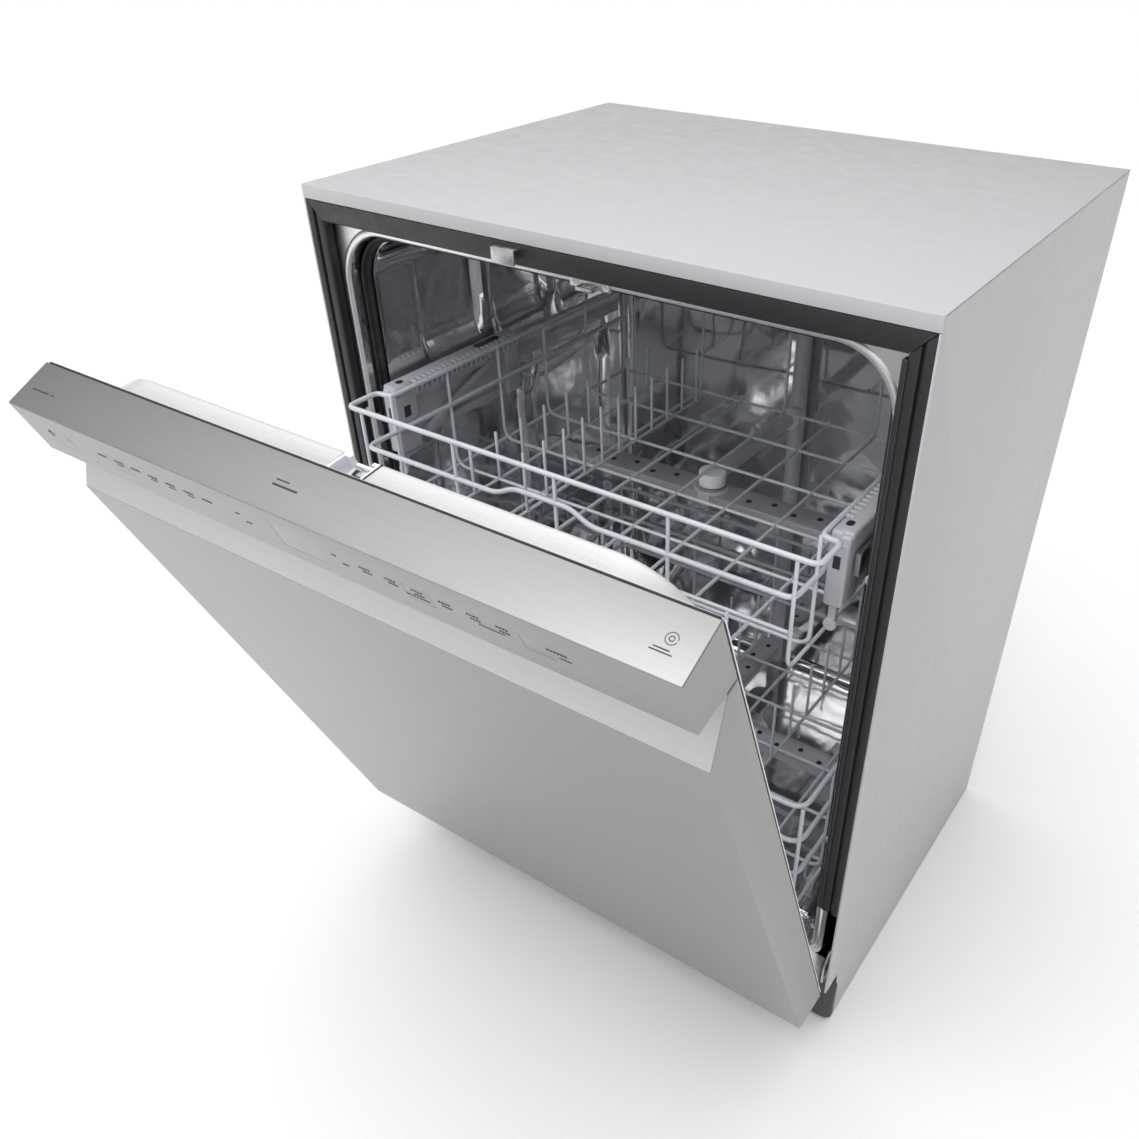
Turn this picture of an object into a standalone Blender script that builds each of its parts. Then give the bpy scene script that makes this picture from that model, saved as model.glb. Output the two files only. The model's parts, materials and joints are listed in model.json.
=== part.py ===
"""Built-in dishwasher, 24 inch class: casing, tub, racks, spray arms and a drop-down door.

Metres, +Z up, +X to the right of someone facing the door, +Y to the back. The origin is the
centre of the base tray's underside. Every mesh is drawn in "casing" coordinates: x from the
centre line, y from the casing's front plane, z from the casing's underside, with the door shut.
The door is then turned open about its hinge by its parent empty.
"""
import math

import bmesh
import bpy
from mathutils import Matrix, Vector

# ---- driving dimensions -------------------------------------------------------------------
WIDTH = 0.603                      # casing, side to side
DEPTH = 0.470                      # casing, front plane to back
HEIGHT = 0.815                     # casing, underside to top
SHEET = 0.0012                     # casing sheet
HALF = WIDTH / 2
FRONT = -DEPTH / 2                 # world y of the casing's front plane
GAP = 0.0003                       # clearance between pieces that touch
LIP_H = 0.012                      # front return of the top sheet

DOOR_ANGLE = math.radians(21.6)    # how far the door stands open at rest
HINGE_Y, HINGE_Z = 0.010, 0.105    # door hinge axis in casing coordinates
DOOR_Y, DOOR_Z = -0.0592, 0.1280   # front bottom edge of the shut door
DOOR_H = 0.6655                    # up the front, to the top edge
DOOR_T = 0.0437                    # front face to the door's back plane
PANEL_H = 0.5735                   # top of the main panel, where the pocket starts
PANEL_TOP = 0.6120                 # top of the pocket's slanted lip
LIP_D = 0.0325                     # depth of the pocket
SKIN = 0.0012                      # door sheet
CONTROL_Z = 0.6165                 # underside of the control panel

TRIM_IN, TRIM_OUT = 0.2805, 0.2993
TRIM_TOP, TRIM_LOW = 0.8026, 0.7850
TRIM_FOOT = 0.2104                 # lower end of the side trims

TUB_HALF, TUB_FLOOR, TUB_ROOF, TUB_BACK = 0.264, 0.118, 0.769, 0.450
TUB_T = 0.0015
SILL = 0.134                       # tub floor at the mouth, and the runners' top
SUMP_Y = 0.235                     # middle of the tub, sump and spray arms

KICK_Y, KICK_HALF = 0.022, 0.3045
LATCH_X = 0.012
CUP_H = 0.295                      # middle of the detergent dispenser, up the door
WIRE = 0.0042                      # rack wire, square here
KEY_X = {"key_power": -0.252, "key_cycle": -0.186, "key_options": 0.110, "key_start": 0.201}


# ---- materials ----------------------------------------------------------------------------
def material(name, colour, rough, metal=0.0):
    m = bpy.data.materials.get(name)
    if m:
        return m
    m = bpy.data.materials.new(name)
    m.use_nodes = True
    shader = m.node_tree.nodes["Principled BSDF"]
    shader.inputs["Base Color"].default_value = (*colour, 1)
    shader.inputs["Roughness"].default_value = rough
    shader.inputs["Metallic"].default_value = metal
    m.diffuse_color = (*colour, 1)
    return m


def painted():
    return material("grey_paint", (0.62, 0.62, 0.635), 0.45)


def brushed():
    return material("brushed_steel", (0.48, 0.48, 0.47), 0.32, 1.0)


def stainless():
    return material("stainless_tub", (0.55, 0.55, 0.56), 0.15, 1.0)


def zinc():
    return material("zinc_steel", (0.55, 0.56, 0.57), 0.35, 1.0)


def dark_plastic():
    return material("dark_plastic", (0.022, 0.022, 0.025), 0.5)


def kick_paint():
    return material("dark_grey_paint", (0.060, 0.060, 0.064), 0.5)


def grey_plastic():
    return material("grey_plastic", (0.16, 0.155, 0.185), 0.45)


def pale_plastic():
    return material("pale_plastic", (0.62, 0.63, 0.65), 0.4)


def rubber():
    return material("black_rubber", (0.018, 0.018, 0.018), 0.75)


def nylon():
    return material("rack_nylon", (0.60, 0.62, 0.67), 0.35)


def glass():
    return material("display_glass", (0.35, 0.35, 0.36), 0.1)


# ---- mesh helpers -------------------------------------------------------------------------
def mesh_object(name, bm, mat):
    """Turns a bmesh into a linked object with one material and faces that point out."""
    bmesh.ops.remove_doubles(bm, verts=bm.verts, dist=1e-7)
    bmesh.ops.recalc_face_normals(bm, faces=bm.faces)
    mesh = bpy.data.meshes.new(name)
    bm.to_mesh(mesh)
    bm.free()
    mesh.materials.append(mat)
    obj = bpy.data.objects.new(name, mesh)
    bpy.context.scene.collection.objects.link(obj)
    return obj


def settle(obj, pivot=(0.0, 0.0, 0.0), parent=None):
    """Puts the origin on pivot (casing coordinates) and the object in its place."""
    pivot = Vector(pivot)
    obj.data.transform(Matrix.Translation(-pivot))
    if parent is None:
        obj.location = pivot + Vector((0, FRONT, 0))
    else:
        obj.parent = parent
        obj.location = pivot - Vector((0, HINGE_Y, HINGE_Z))
    return obj


def add_box(bm, lo, hi):
    """Adds an axis-aligned box and returns its vertices."""
    size = Vector(hi) - Vector(lo)
    middle = (Vector(hi) + Vector(lo)) / 2
    move = Matrix.Translation(middle) @ Matrix.Diagonal((*size, 1))
    return bmesh.ops.create_cube(bm, size=1, matrix=move)["verts"]


def box(name, lo, hi, mat, bevel=0.0, segments=2):
    bm = bmesh.new()
    add_box(bm, lo, hi)
    if bevel:
        bmesh.ops.bevel(bm, geom=bm.edges[:], offset=bevel, segments=segments, affect="EDGES")
    return mesh_object(name, bm, mat)


def prism_bmesh(outline, axis, start, end):
    """Extrudes a closed outline along an axis. start and end may be functions of the point.

    The outline's two numbers are the two other axes, in X, Y, Z order.
    """
    first = start if callable(start) else lambda p: start
    last = end if callable(end) else lambda p: end
    bm = bmesh.new()
    rings = []
    for edge in (first, last):
        ring = []
        for p in outline:
            co = list(p)
            co.insert("XYZ".index(axis), edge(p))
            ring.append(bm.verts.new(co))
        rings.append(ring)
    count = len(outline)
    bm.faces.new(rings[0])
    bm.faces.new(rings[1])
    for i in range(count):
        j = (i + 1) % count
        bm.faces.new((rings[0][i], rings[0][j], rings[1][j], rings[1][i]))
    return bm


def prism(name, outline, axis, start, end, mat):
    return mesh_object(name, prism_bmesh(outline, axis, start, end), mat)


def arc(cx, cy, radius, start, end, steps):
    """Points on a circle from start to end, in degrees."""
    points = []
    for i in range(steps + 1):
        a = math.radians(start + (end - start) * i / steps)
        points.append((cx + radius * math.cos(a), cy + radius * math.sin(a)))
    return points


def rounded(half, low, high, radius, foot=None, steps=5):
    """A rounded rectangle, centred on x = 0, as (x, z) points. foot is the lower corners' radius."""
    foot = foot or radius
    inner, under = half - radius, half - foot
    points = arc(inner, high - radius, radius, 0, 90, steps)
    points += arc(-inner, high - radius, radius, 90, 180, steps)
    points += arc(-under, low + foot, foot, 180, 270, steps)
    points += arc(under, low + foot, foot, 270, 360, steps)
    return points


def loft(name, rings, mat):
    """Skins rounded rectangles (y, half width, low, high, radius, lower radius) and caps the ends."""
    bm = bmesh.new()
    loops = []
    for y, *shape in rings:
        loops.append([bm.verts.new((x, y, z)) for x, z in rounded(*shape)])
    for a, b in zip(loops, loops[1:]):
        for i in range(len(a)):
            j = (i + 1) % len(a)
            bm.faces.new((a[i], a[j], b[j], b[i]))
    bm.faces.new(loops[0])
    bm.faces.new(loops[-1])
    return mesh_object(name, bm, mat)


def revolve(name, profile, centre, axis, mat, sides=20):
    """Turns a closed (radius, height) profile about an axis. Radius 0 points lie on the axis."""
    bm = bmesh.new()
    turn = {"X": Matrix.Rotation(math.pi / 2, 4, "Y"), "Y": Matrix.Rotation(-math.pi / 2, 4, "X"),
            "Z": Matrix.Identity(4)}[axis]
    place = Matrix.Translation(centre) @ turn
    rings = []
    for radius, height in profile:
        if radius == 0:
            rings.append([bm.verts.new(place @ Vector((0, 0, height)))] * sides)
            continue
        ring = []
        for i in range(sides):
            a = math.tau * i / sides
            ring.append(bm.verts.new(place @ Vector((radius * math.cos(a), radius * math.sin(a), height))))
        rings.append(ring)
    pairs = list(zip(rings, rings[1:] + rings[:1]))
    for a, b in pairs:
        if a[0] is a[1] and b[0] is b[1]:
            continue
        for i in range(sides):
            j = (i + 1) % sides
            corners = []
            for v in (a[i], a[j], b[j], b[i]):
                if v not in corners:
                    corners.append(v)
            if len(corners) > 2:
                bm.faces.new(corners)
    return mesh_object(name, bm, mat)


def sweep(name, path, radius, mat, sides=8):
    """A round bar of one radius along a path of points."""
    bm = bmesh.new()
    path = [Vector(p) for p in path]
    side = None
    loops = []
    for i, point in enumerate(path):
        ahead = (path[min(i + 1, len(path) - 1)] - path[max(i - 1, 0)]).normalized()
        if side is None:
            side = ahead.orthogonal().normalized()
        side = (side - ahead * side.dot(ahead)).normalized()
        up = ahead.cross(side)
        loop = []
        for k in range(sides):
            a = math.tau * k / sides
            loop.append(bm.verts.new(point + radius * (math.cos(a) * side + math.sin(a) * up)))
        loops.append(loop)
    for a, b in zip(loops, loops[1:]):
        for i in range(sides):
            j = (i + 1) % sides
            bm.faces.new((a[i], a[j], b[j], b[i]))
    bm.faces.new(loops[0])
    bm.faces.new(loops[-1])
    return mesh_object(name, bm, mat)


def bend(points, radius, steps=4):
    """Rounds the corners of a path."""
    points = [Vector(p) for p in points]
    out = [points[0]]
    for before, here, after in zip(points, points[1:], points[2:]):
        a = here + (before - here).normalized() * radius
        b = here + (after - here).normalized() * radius
        for i in range(steps + 1):
            t = i / steps
            out.append(a.lerp(here, t).lerp(here.lerp(b, t), t))
    out.append(points[-1])
    return out


def carve(obj, cutter, operation="DIFFERENCE"):
    """Applies an exact boolean with another object as a modifier on obj."""
    mod = obj.modifiers.new(cutter.name, "BOOLEAN")
    mod.operation = operation
    mod.solver = "EXACT"
    mod.object = cutter
    cutter.hide_render = True
    cutter.display_type = "WIRE"
    return obj


def apply_modifiers(obj):
    """Makes the modifiers' result the object's own mesh and removes the cutters."""
    cutters = [m.object for m in obj.modifiers if m.type == "BOOLEAN"]
    bpy.context.view_layer.update()
    mesh = bpy.data.meshes.new_from_object(obj.evaluated_get(bpy.context.evaluated_depsgraph_get()))
    obj.modifiers.clear()
    obj.data = mesh
    obj.data.name = obj.name
    for cutter in cutters:
        bpy.data.objects.remove(cutter)
    return obj


def lattice(name, boxes, mat):
    """One closed solid from overlapping axis-aligned boxes: only the faces between full and empty."""
    levels = []
    for axis in range(3):
        levels.append(sorted({round(b[end][axis], 6) for b in boxes for end in (0, 1)}))
    index = [{v: i for i, v in enumerate(level)} for level in levels]
    full = set()
    for lo, hi in boxes:
        spans = []
        for axis in range(3):
            spans.append(range(index[axis][round(lo[axis], 6)], index[axis][round(hi[axis], 6)]))
        full.update((i, j, k) for i in spans[0] for j in spans[1] for k in spans[2])
    bm = bmesh.new()
    verts = {}

    def corner(i, j, k):
        key = (i, j, k)
        if key not in verts:
            verts[key] = bm.verts.new((levels[0][i], levels[1][j], levels[2][k]))
        return verts[key]

    for cell in full:
        for axis in range(3):
            for side in (0, 1):
                other = list(cell)
                other[axis] += 1 if side else -1
                if tuple(other) in full:
                    continue
                u, v = [a for a in range(3) if a != axis]
                ring = []
                for du, dv in ((0, 0), (1, 0), (1, 1), (0, 1)):
                    co = list(cell)
                    co[axis] += side
                    co[u] += du
                    co[v] += dv
                    ring.append(corner(*co))
                bm.faces.new(ring)
    bmesh.ops.recalc_face_normals(bm, faces=bm.faces)
    bmesh.ops.dissolve_limit(bm, angle_limit=math.radians(1), verts=bm.verts, edges=bm.edges)
    return mesh_object(name, bm, mat)


def wire(a, b, width=WIRE):
    """A square bar between two points that differ along one axis."""
    lo = [min(p, q) - width / 2 for p, q in zip(a, b)]
    hi = [max(p, q) + width / 2 for p, q in zip(a, b)]
    return lo, hi


def spread(start, end, count):
    return [start + (end - start) * i / (count - 1) for i in range(count)]


def door(depth, height):
    """Casing (y, z) of a point on the shut door, from its front face and bottom edge."""
    return DOOR_Y + depth, DOOR_Z + height


# ---- casing -------------------------------------------------------------------------------
def top_panel():
    low, under = HEIGHT - LIP_H, HEIGHT - SHEET
    outline = [(0, low), (0, HEIGHT), (DEPTH, HEIGHT), (DEPTH, low), (DEPTH - SHEET, low),
               (DEPTH - SHEET, under), (SHEET, under), (SHEET, low)]
    settle(prism("top_panel", outline, "X", -HALF, HALF, painted()))


def side_panel(side):
    """A folded sheet with a hemmed front edge and a notch for the toe space."""
    low, high = HEIGHT - LIP_H - GAP, HEIGHT - SHEET - GAP
    notch_y, notch_z = 0.030, 0.084
    back = DEPTH - SHEET - GAP
    outline = [(notch_y, 0), (notch_y, notch_z), (0, notch_z), (0, low), (SHEET + GAP, low),
               (SHEET + GAP, high), (back, high), (back, 0)]
    name = "side_panel_" + side
    sign = -1 if side == "left" else 1
    panel = prism(name, outline, "X", sign * (HALF - SHEET), sign * HALF, painted())
    edges = sorted((sign * (HALF - 0.0020), sign * (HALF - 0.0006)))
    hem = box("hem", (edges[0], 0, notch_z), (edges[1], 0.012, low), painted())
    settle(apply_modifiers(carve(panel, hem, "UNION")))


def rear_panel():
    """The back sheet, with a stiffening panel pressed out of it and an opening for the hoses."""
    low, high, back = 0.060, HEIGHT - LIP_H - GAP, DEPTH
    rings = []
    for y in (back, back - SHEET):
        rings.append([(y - 0.004, HALF - 0.06, low + 0.11, high - 0.06, 0.025),
                      (y, HALF - 0.05, low + 0.10, high - 0.05, 0.030), (y, HALF, low, high, 0.003)])
    rings = rings[0] + rings[1][::-1]
    panel = loft("rear_panel", rings, painted())
    hole = box("hoses", (-0.26, DEPTH - 0.02, 0.075), (-0.17, DEPTH + 0.02, 0.115), painted())
    settle(apply_modifiers(carve(panel, hole)))


def base_tray():
    """A shallow open pan that carries the pumps and catches drips."""
    lo, hi, wall = Vector((-0.291, 0.040, 0)), Vector((0.291, 0.460, 0.055)), 0.0025
    tray = box("base_tray", lo, hi, dark_plastic())
    inside = box("pan", lo + Vector((wall, wall, wall)), hi + Vector((-wall, -wall, 0.02)), dark_plastic())
    carve(tray, inside)
    for x, y in FEET.values():
        carve(tray, disc("boss", x, y, 0.0225, 0.001, 0.012), "UNION")
        carve(tray, disc("pocket", x, y, 0.0190, -0.010, 0.0075))
        carve(tray, disc("leg_hole", x, y, 0.0065, -0.010, 0.020))
    settle(apply_modifiers(tray))


def disc(name, x, y, radius, low, high):
    profile = [(0, low), (radius, low), (radius, high), (0, high)]
    return revolve(name, profile, (x, y, 0), "Z", dark_plastic(), 16)


FEET = {"foot_front_left": (-0.262, 0.075), "foot_front_right": (0.262, 0.075),
        "foot_rear_left": (-0.262, 0.425), "foot_rear_right": (0.262, 0.425)}


def feet():
    """Levelling legs, wound right in: a stem through the tray's boss and a pad in its pocket."""
    for name, (x, y) in FEET.items():
        profile = [(0, 0.0005), (0.016, 0.0005), (0.018, 0.0020), (0.018, 0.0040), (0.016, 0.0055),
                   (0.005, 0.0055), (0.005, 0.054), (0, 0.054)]
        settle(revolve(name, profile, (x, y, 0), "Z", zinc(), 16), (x, y, 0))


def kick_plate():
    """The toe board: a dished board with rounded corners."""
    low, high = 0.005, 0.0778
    rings = [(KICK_Y, KICK_HALF - 0.0015, low + 0.0015, high - 0.0015, 0.010),
             (KICK_Y + 0.0015, KICK_HALF, low, high, 0.0115), (KICK_Y + 0.006, KICK_HALF, low, high, 0.0115)]
    settle(loft("kick_plate", rings, kick_paint()))


# ---- trim round the mouth -----------------------------------------------------------------
def trims():
    """Black strips that cover the gap between the tub's flange and the casing, mitred on top."""
    slope = (TRIM_TOP - TRIM_LOW) / (TRIM_OUT - TRIM_IN)
    top = [(0, TRIM_TOP), (0, TRIM_LOW + 0.0015), (0.0015, TRIM_LOW), (0.010, TRIM_LOW), (0.010, TRIM_TOP)]
    edge = lambda p: TRIM_OUT - (TRIM_TOP - p[1]) / slope
    settle(prism("trim_top", top, "X", lambda p: -edge(p), edge, dark_plastic()))
    side = [(TRIM_OUT, 0), (0.2927, 0), (0.2922, 0.005), (0.2900, 0.005), (0.2895, 0.0008),
            (TRIM_IN + 0.002, 0.0008), (TRIM_IN, 0.003), (TRIM_IN, 0.010), (TRIM_OUT, 0.010)]
    mitre = lambda p: TRIM_TOP - (TRIM_OUT - abs(p[0])) * slope - 2 * GAP
    for name, sign in (("trim_left", -1), ("trim_right", 1)):
        outline = [(sign * x, y) for x, y in side]
        settle(prism(name, outline, "Z", TRIM_FOOT, mitre, dark_plastic()))


def mount_bracket():
    """A folded tab on the top trim, for the screw into the worktop."""
    outline = [(-0.0003, 0.7990), (-0.0075, 0.7990), (-0.0075, 0.7870), (-0.0060, 0.7870),
               (-0.0060, 0.7975), (-0.0003, 0.7975)]
    settle(prism("mount_bracket", outline, "X", -0.074, -0.050, zinc()))


# ---- tub ----------------------------------------------------------------------------------
def tub():
    """A deep-drawn steel box: flange, gasket channel, walls and floor in one sheet."""
    half, floor, roof, t = TUB_HALF, TUB_FLOOR, TUB_ROOF, TUB_T
    step = 0.0085                                      # how far the gasket channel stands out
    wide, top, sill, foot = half + step, roof + step, SILL - 0.0005, 0.010
    inside = [(TUB_BACK, half, floor, roof, 0.042), (0.060, half, floor, roof, 0.042),
              (0.034, half, SILL, roof, 0.042, foot), (0.034, wide, sill, top, 0.050, foot),
              (0.0125, wide, sill, top, 0.050, foot), (0.0125, 0.2845, floor, 0.7890, 0.020)]
    outside = [(0.014, 0.2845, floor, 0.7890, 0.020), (0.014, wide + t, sill - t, top + t, 0.0515, foot + t),
               (0.0355, wide + t, sill - t, top + t, 0.0515, foot + t),
               (0.0355, half + t, SILL - 2 * t, roof + t, 0.0435, foot + t),
               (0.061, half + t, floor - t, roof + t, 0.0435),
               (TUB_BACK + t, half + t, floor - t, roof + t, 0.0435)]
    body = loft("tub", inside + outside, stainless())
    for sign in (-1, 1):
        near, far = sorted((sign * 0.232, sign * 0.252))
        rib = box("runner", (near, 0.037, floor - 0.001), (far, 0.440, SILL), stainless())
        carve(body, rib, "UNION")
    hole = revolve("sump_hole", [(0, -0.02), (0.088, -0.02), (0.088, 0.02), (0, 0.02)],
                   (0, SUMP_Y, floor), "Z", stainless(), 28)
    settle(apply_modifiers(carve(body, hole)))


def tub_gasket():
    """The door seal: a rubber strip round the top and sides of the channel."""
    half, roof, r = TUB_HALF + 0.0085 - 0.0050, TUB_ROOF + 0.0085 - 0.0050, 0.0040
    path = [(-half, 0.0295, 0.150)]
    for x, start in ((-half + 0.045, 180), (half - 0.045, 90)):
        path += [(px, 0.0295, pz) for px, pz in arc(x, roof - 0.045, 0.045, start, start - 90, 5)]
    path += [(half, 0.0295, 0.150)]
    settle(sweep("tub_gasket", path, r, rubber(), 8))


def latch_strike():
    """The plate on the tub's flange that the door's hook catches, with its forward loop."""
    x, boxes = LATCH_X, []
    boxes.append(((x - 0.020, 0.0103, 0.7755), (x + 0.020, 0.0122, 0.7870)))
    for near, far in ((-0.0080, -0.0060), (0.0060, 0.0080)):
        boxes.append(((x + near, 0.0020, 0.7760), (x + far, 0.0103, 0.7790)))
    boxes.append(((x - 0.0080, 0.0010, 0.7760), (x + 0.0080, 0.0030, 0.7790)))
    settle(lattice("latch_strike", boxes, zinc()))


# ---- under the tub ------------------------------------------------------------------------
def sump():
    """The bowl under the tub's floor with the post that the lower arm turns on."""
    profile = [(0, 0.040), (0.060, 0.040), (0.083, 0.062), (0.083, 0.1105), (0.096, 0.1105),
               (0.096, 0.1160), (0.081, 0.1160), (0.081, 0.064), (0.058, 0.043), (0.014, 0.043),
               (0.014, 0.1500), (0, 0.1500)]
    settle(revolve("sump", profile, (0, SUMP_Y, 0), "Z", pale_plastic(), 24))


def filters():
    """A flat fine filter over the sump, and the round basket that twists out of it."""
    x = 0.048
    plate = revolve("filter_plate", [(0, 0.1185), (0.093, 0.1185), (0.093, 0.1200), (0, 0.1200)],
                    (0, SUMP_Y, 0), "Z", zinc(), 28)
    for cx, radius in ((0, 0.0145), (x, 0.0308)):
        carve(plate, revolve("hole", [(0, 0.10), (radius, 0.10), (radius, 0.14), (0, 0.14)],
                             (cx, SUMP_Y, 0), "Z", zinc(), 20))
    settle(apply_modifiers(plate))
    cup = [(0, 0.062), (0.030, 0.062), (0.030, 0.1215), (0.028, 0.1215), (0.028, 0.064), (0, 0.064)]
    basket = revolve("filter_basket", cup, (x, SUMP_Y, 0), "Z", grey_plastic(), 20)
    carve(basket, box("grip", (x - 0.029, SUMP_Y - 0.003, 0.110), (x + 0.029, SUMP_Y + 0.003, 0.1275),
                      grey_plastic()), "UNION")
    settle(apply_modifiers(basket), (x, SUMP_Y, 0.090))


def pumps():
    """The wash motor behind the sump and the drain pump beside it."""
    motor = [(0, -0.060), (0.030, -0.060), (0.034, -0.052), (0.034, 0.030), (0.042, 0.034),
             (0.042, 0.056), (0.036, 0.062), (0, 0.062)]
    settle(revolve("wash_pump", motor, (0.02, 0.378, 0.052), "X", zinc(), 20))
    drain = [(0, -0.030), (0.020, -0.030), (0.024, -0.026), (0.024, 0.012), (0.014, 0.014),
             (0.014, 0.030), (0, 0.030)]
    settle(revolve("drain_pump", drain, (-0.150, SUMP_Y, 0.040), "X", grey_plastic(), 16))


def feed_tube():
    """The water pipe up the back wall and along the roof to the top arm."""
    path = bend([(0, 0.4365, 0.123), (0, 0.4365, 0.7480), (0, SUMP_Y, 0.7480)], 0.035, 5)
    tube = sweep("feed_tube", path, 0.010, pale_plastic(), 10)
    nozzle = revolve("nozzle", [(0, 0.7340), (0.012, 0.7340), (0.012, 0.7520), (0, 0.7520)],
                     (0, SUMP_Y, 0), "Z", pale_plastic(), 12)
    port = revolve("port", [(0, -0.0175), (0.013, -0.0175), (0.013, 0.004), (0, 0.004)],
                   (0, 0.430, 0.506), "Y", pale_plastic(), 12)
    settle(apply_modifiers(carve(carve(tube, nozzle, "UNION"), port, "UNION")))


def spray_arm(name, arms, reach, width, low, high, hub_low, hub_high, hub_radius):
    """A flat hollow-looking rotor: equal arms round a hub."""
    outline = []
    root = width / 2 / math.tan(math.pi / arms) if arms > 2 else 0
    for i in range(arms):
        turn = 360 * i / arms
        tip = arc(reach - width / 2, 0, width / 2, -90, 90, 4)
        points = ([(root, -width / 2)] if arms > 2 else []) + tip
        a = math.radians(turn)
        c, d = math.cos(a), math.sin(a)
        outline += [(x * c - y * d, SUMP_Y + x * d + y * c) for x, y in points]
    rotor = prism(name, outline, "Z", low, high, grey_plastic())
    hub = revolve("hub", [(0, hub_low), (hub_radius, hub_low), (hub_radius, hub_high), (0, hub_high)],
                  (0, SUMP_Y, 0), "Z", grey_plastic(), 16)
    settle(apply_modifiers(carve(rotor, hub, "UNION")), (0, SUMP_Y, (low + high) / 2))


# ---- rails and racks ----------------------------------------------------------------------
RAIL_Z = 0.600


def rails():
    """Telescopic runners of the upper rack: a channel on the tub wall and a slide inside it."""
    for name, sign in (("left", -1), ("right", 1)):
        x = lambda v: sign * v
        channel = [(x(0.2637), RAIL_Z - 0.013), (x(0.2637), RAIL_Z + 0.013), (x(0.2590), RAIL_Z + 0.013),
                   (x(0.2590), RAIL_Z + 0.0115), (x(0.2622), RAIL_Z + 0.0115), (x(0.2622), RAIL_Z - 0.0115),
                   (x(0.2590), RAIL_Z - 0.0115), (x(0.2590), RAIL_Z - 0.013)]
        settle(prism("rail_outer_" + name, channel, "Y", 0.045, 0.425, stainless()))
        ends = sorted((x(0.2570), x(0.2612)))
        slide = box("rail_slide_" + name, (ends[0], 0.022, RAIL_Z - 0.0105),
                    (ends[1], 0.420, RAIL_Z + 0.0105), stainless())
        settle(slide, (x(0.2590), 0.022, RAIL_Z))


UPPER_FLOOR, UPPER_TOP = 0.520, 0.6275
RACK_FRONT, RACK_HALF, RACK_SIDE, UPPER_BACK = -0.035, 0.2515, 0.2335, 0.400


def upper_rack():
    """The cup rack: a wire floor, low walls and a front whose middle rail has a raised step."""
    top, floor, front, back = UPPER_TOP, UPPER_FLOOR, RACK_FRONT, UPPER_BACK
    mid, low, turn = 0.590, 0.554, 0.004
    bars = [wire((-RACK_HALF, front, top), (RACK_HALF, front, top))]
    for s in (-1, 1):
        bars.append(wire((s * RACK_HALF, front, top), (s * RACK_HALF, turn, top)))
        bars.append(wire((s * RACK_SIDE, turn, top), (s * RACK_HALF, turn, top)))
        bars.append(wire((s * RACK_SIDE, turn, top), (s * RACK_SIDE, back, top)))
        bars.append(wire((s * RACK_SIDE, front, mid), (s * RACK_SIDE, back, mid)))
        for y in spread(turn, back, 6):
            bars.append(wire((s * RACK_SIDE, y, floor), (s * RACK_SIDE, y, top)))
    start, end, raised = -0.058, 0.026, mid + 0.011
    bars.append(wire((-RACK_SIDE, front, mid), (start, front, mid)))
    bars.append(wire((start, front, raised), (end, front, raised)))
    bars.append(wire((end, front, mid), (RACK_SIDE, front, mid)))
    bars.append(wire((-RACK_SIDE, front, low), (RACK_SIDE, front, low)))
    for x in (start, end):
        bars.append(wire((x, front, mid), (x, front, raised)))
    bars.append(wire((-RACK_SIDE, back, top), (RACK_SIDE, back, top)))
    columns = spread(-RACK_SIDE, RACK_SIDE, 9)
    for x in columns:
        bars.append(wire((x, front, floor), (x, back, floor)))
        bars.append(wire((x, front, floor), (x, front, low)))
    for x in columns[::2]:
        bars.append(wire((x, front, low), (x, front, top)))
        bars.append(wire((x, back, floor), (x, back, top)))
    for y in [front] + spread(turn, back, 6):
        bars.append(wire((-RACK_SIDE, y, floor), (RACK_SIDE, y, floor)))
    for y in spread(0.045, 0.365, 9):
        bars.append(wire((columns[1], y, floor), (columns[1], y, floor + 0.052), 0.0036))
    settle(lattice("upper_rack", bars, nylon()), (0, front, floor))


def adjusters():
    """Plastic height-adjuster housings between the rack's sides and its runners."""
    for name, sign in (("adjuster_left", -1), ("adjuster_right", 1)):
        near, far = sorted((sign * 0.2362, sign * 0.2565))
        body = box(name, (near, 0.012, 0.560), (far, 0.205, 0.631), grey_plastic(), 0.003)
        slot = box("grip", (near + 0.006, 0.140, 0.615), (far - 0.006, 0.180, 0.640), grey_plastic())
        settle(apply_modifiers(carve(body, slot)))


def tines_upper():
    """A row of tines on a bar that folds flat."""
    x, z, bars = -0.100, 0.5251, []
    bars.append(wire((x, 0.030, z), (x, 0.370, z), 0.0036))
    for y in spread(0.040, 0.360, 11):
        bars.append(wire((x, y, z), (x, y, z + 0.062), 0.0032))
    settle(lattice("tines_upper", bars, nylon()), (x, 0.200, z))


def rack_feed_tube():
    """The pipe under the upper rack that takes water from the back wall to the middle arm."""
    path = bend([(0, 0.4100, 0.506), (0, SUMP_Y + 0.006, 0.506)], 0.01)
    tube = sweep("rack_feed_tube", path, 0.008, pale_plastic(), 8)
    hub = revolve("hub", [(0, 0.5000), (0.015, 0.5000), (0.015, 0.5150), (0, 0.5150)],
                  (0, SUMP_Y, 0), "Z", pale_plastic(), 14)
    settle(apply_modifiers(carve(tube, hub, "UNION")))


LOWER_FLOOR, LOWER_TOP = 0.190, 0.340
LOWER_FRONT, LOWER_BACK = -0.005, 0.412
WHEEL_R, WHEEL_Z, WHEEL_Y = 0.0180, 0.1523, (0.075, 0.350)


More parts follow.
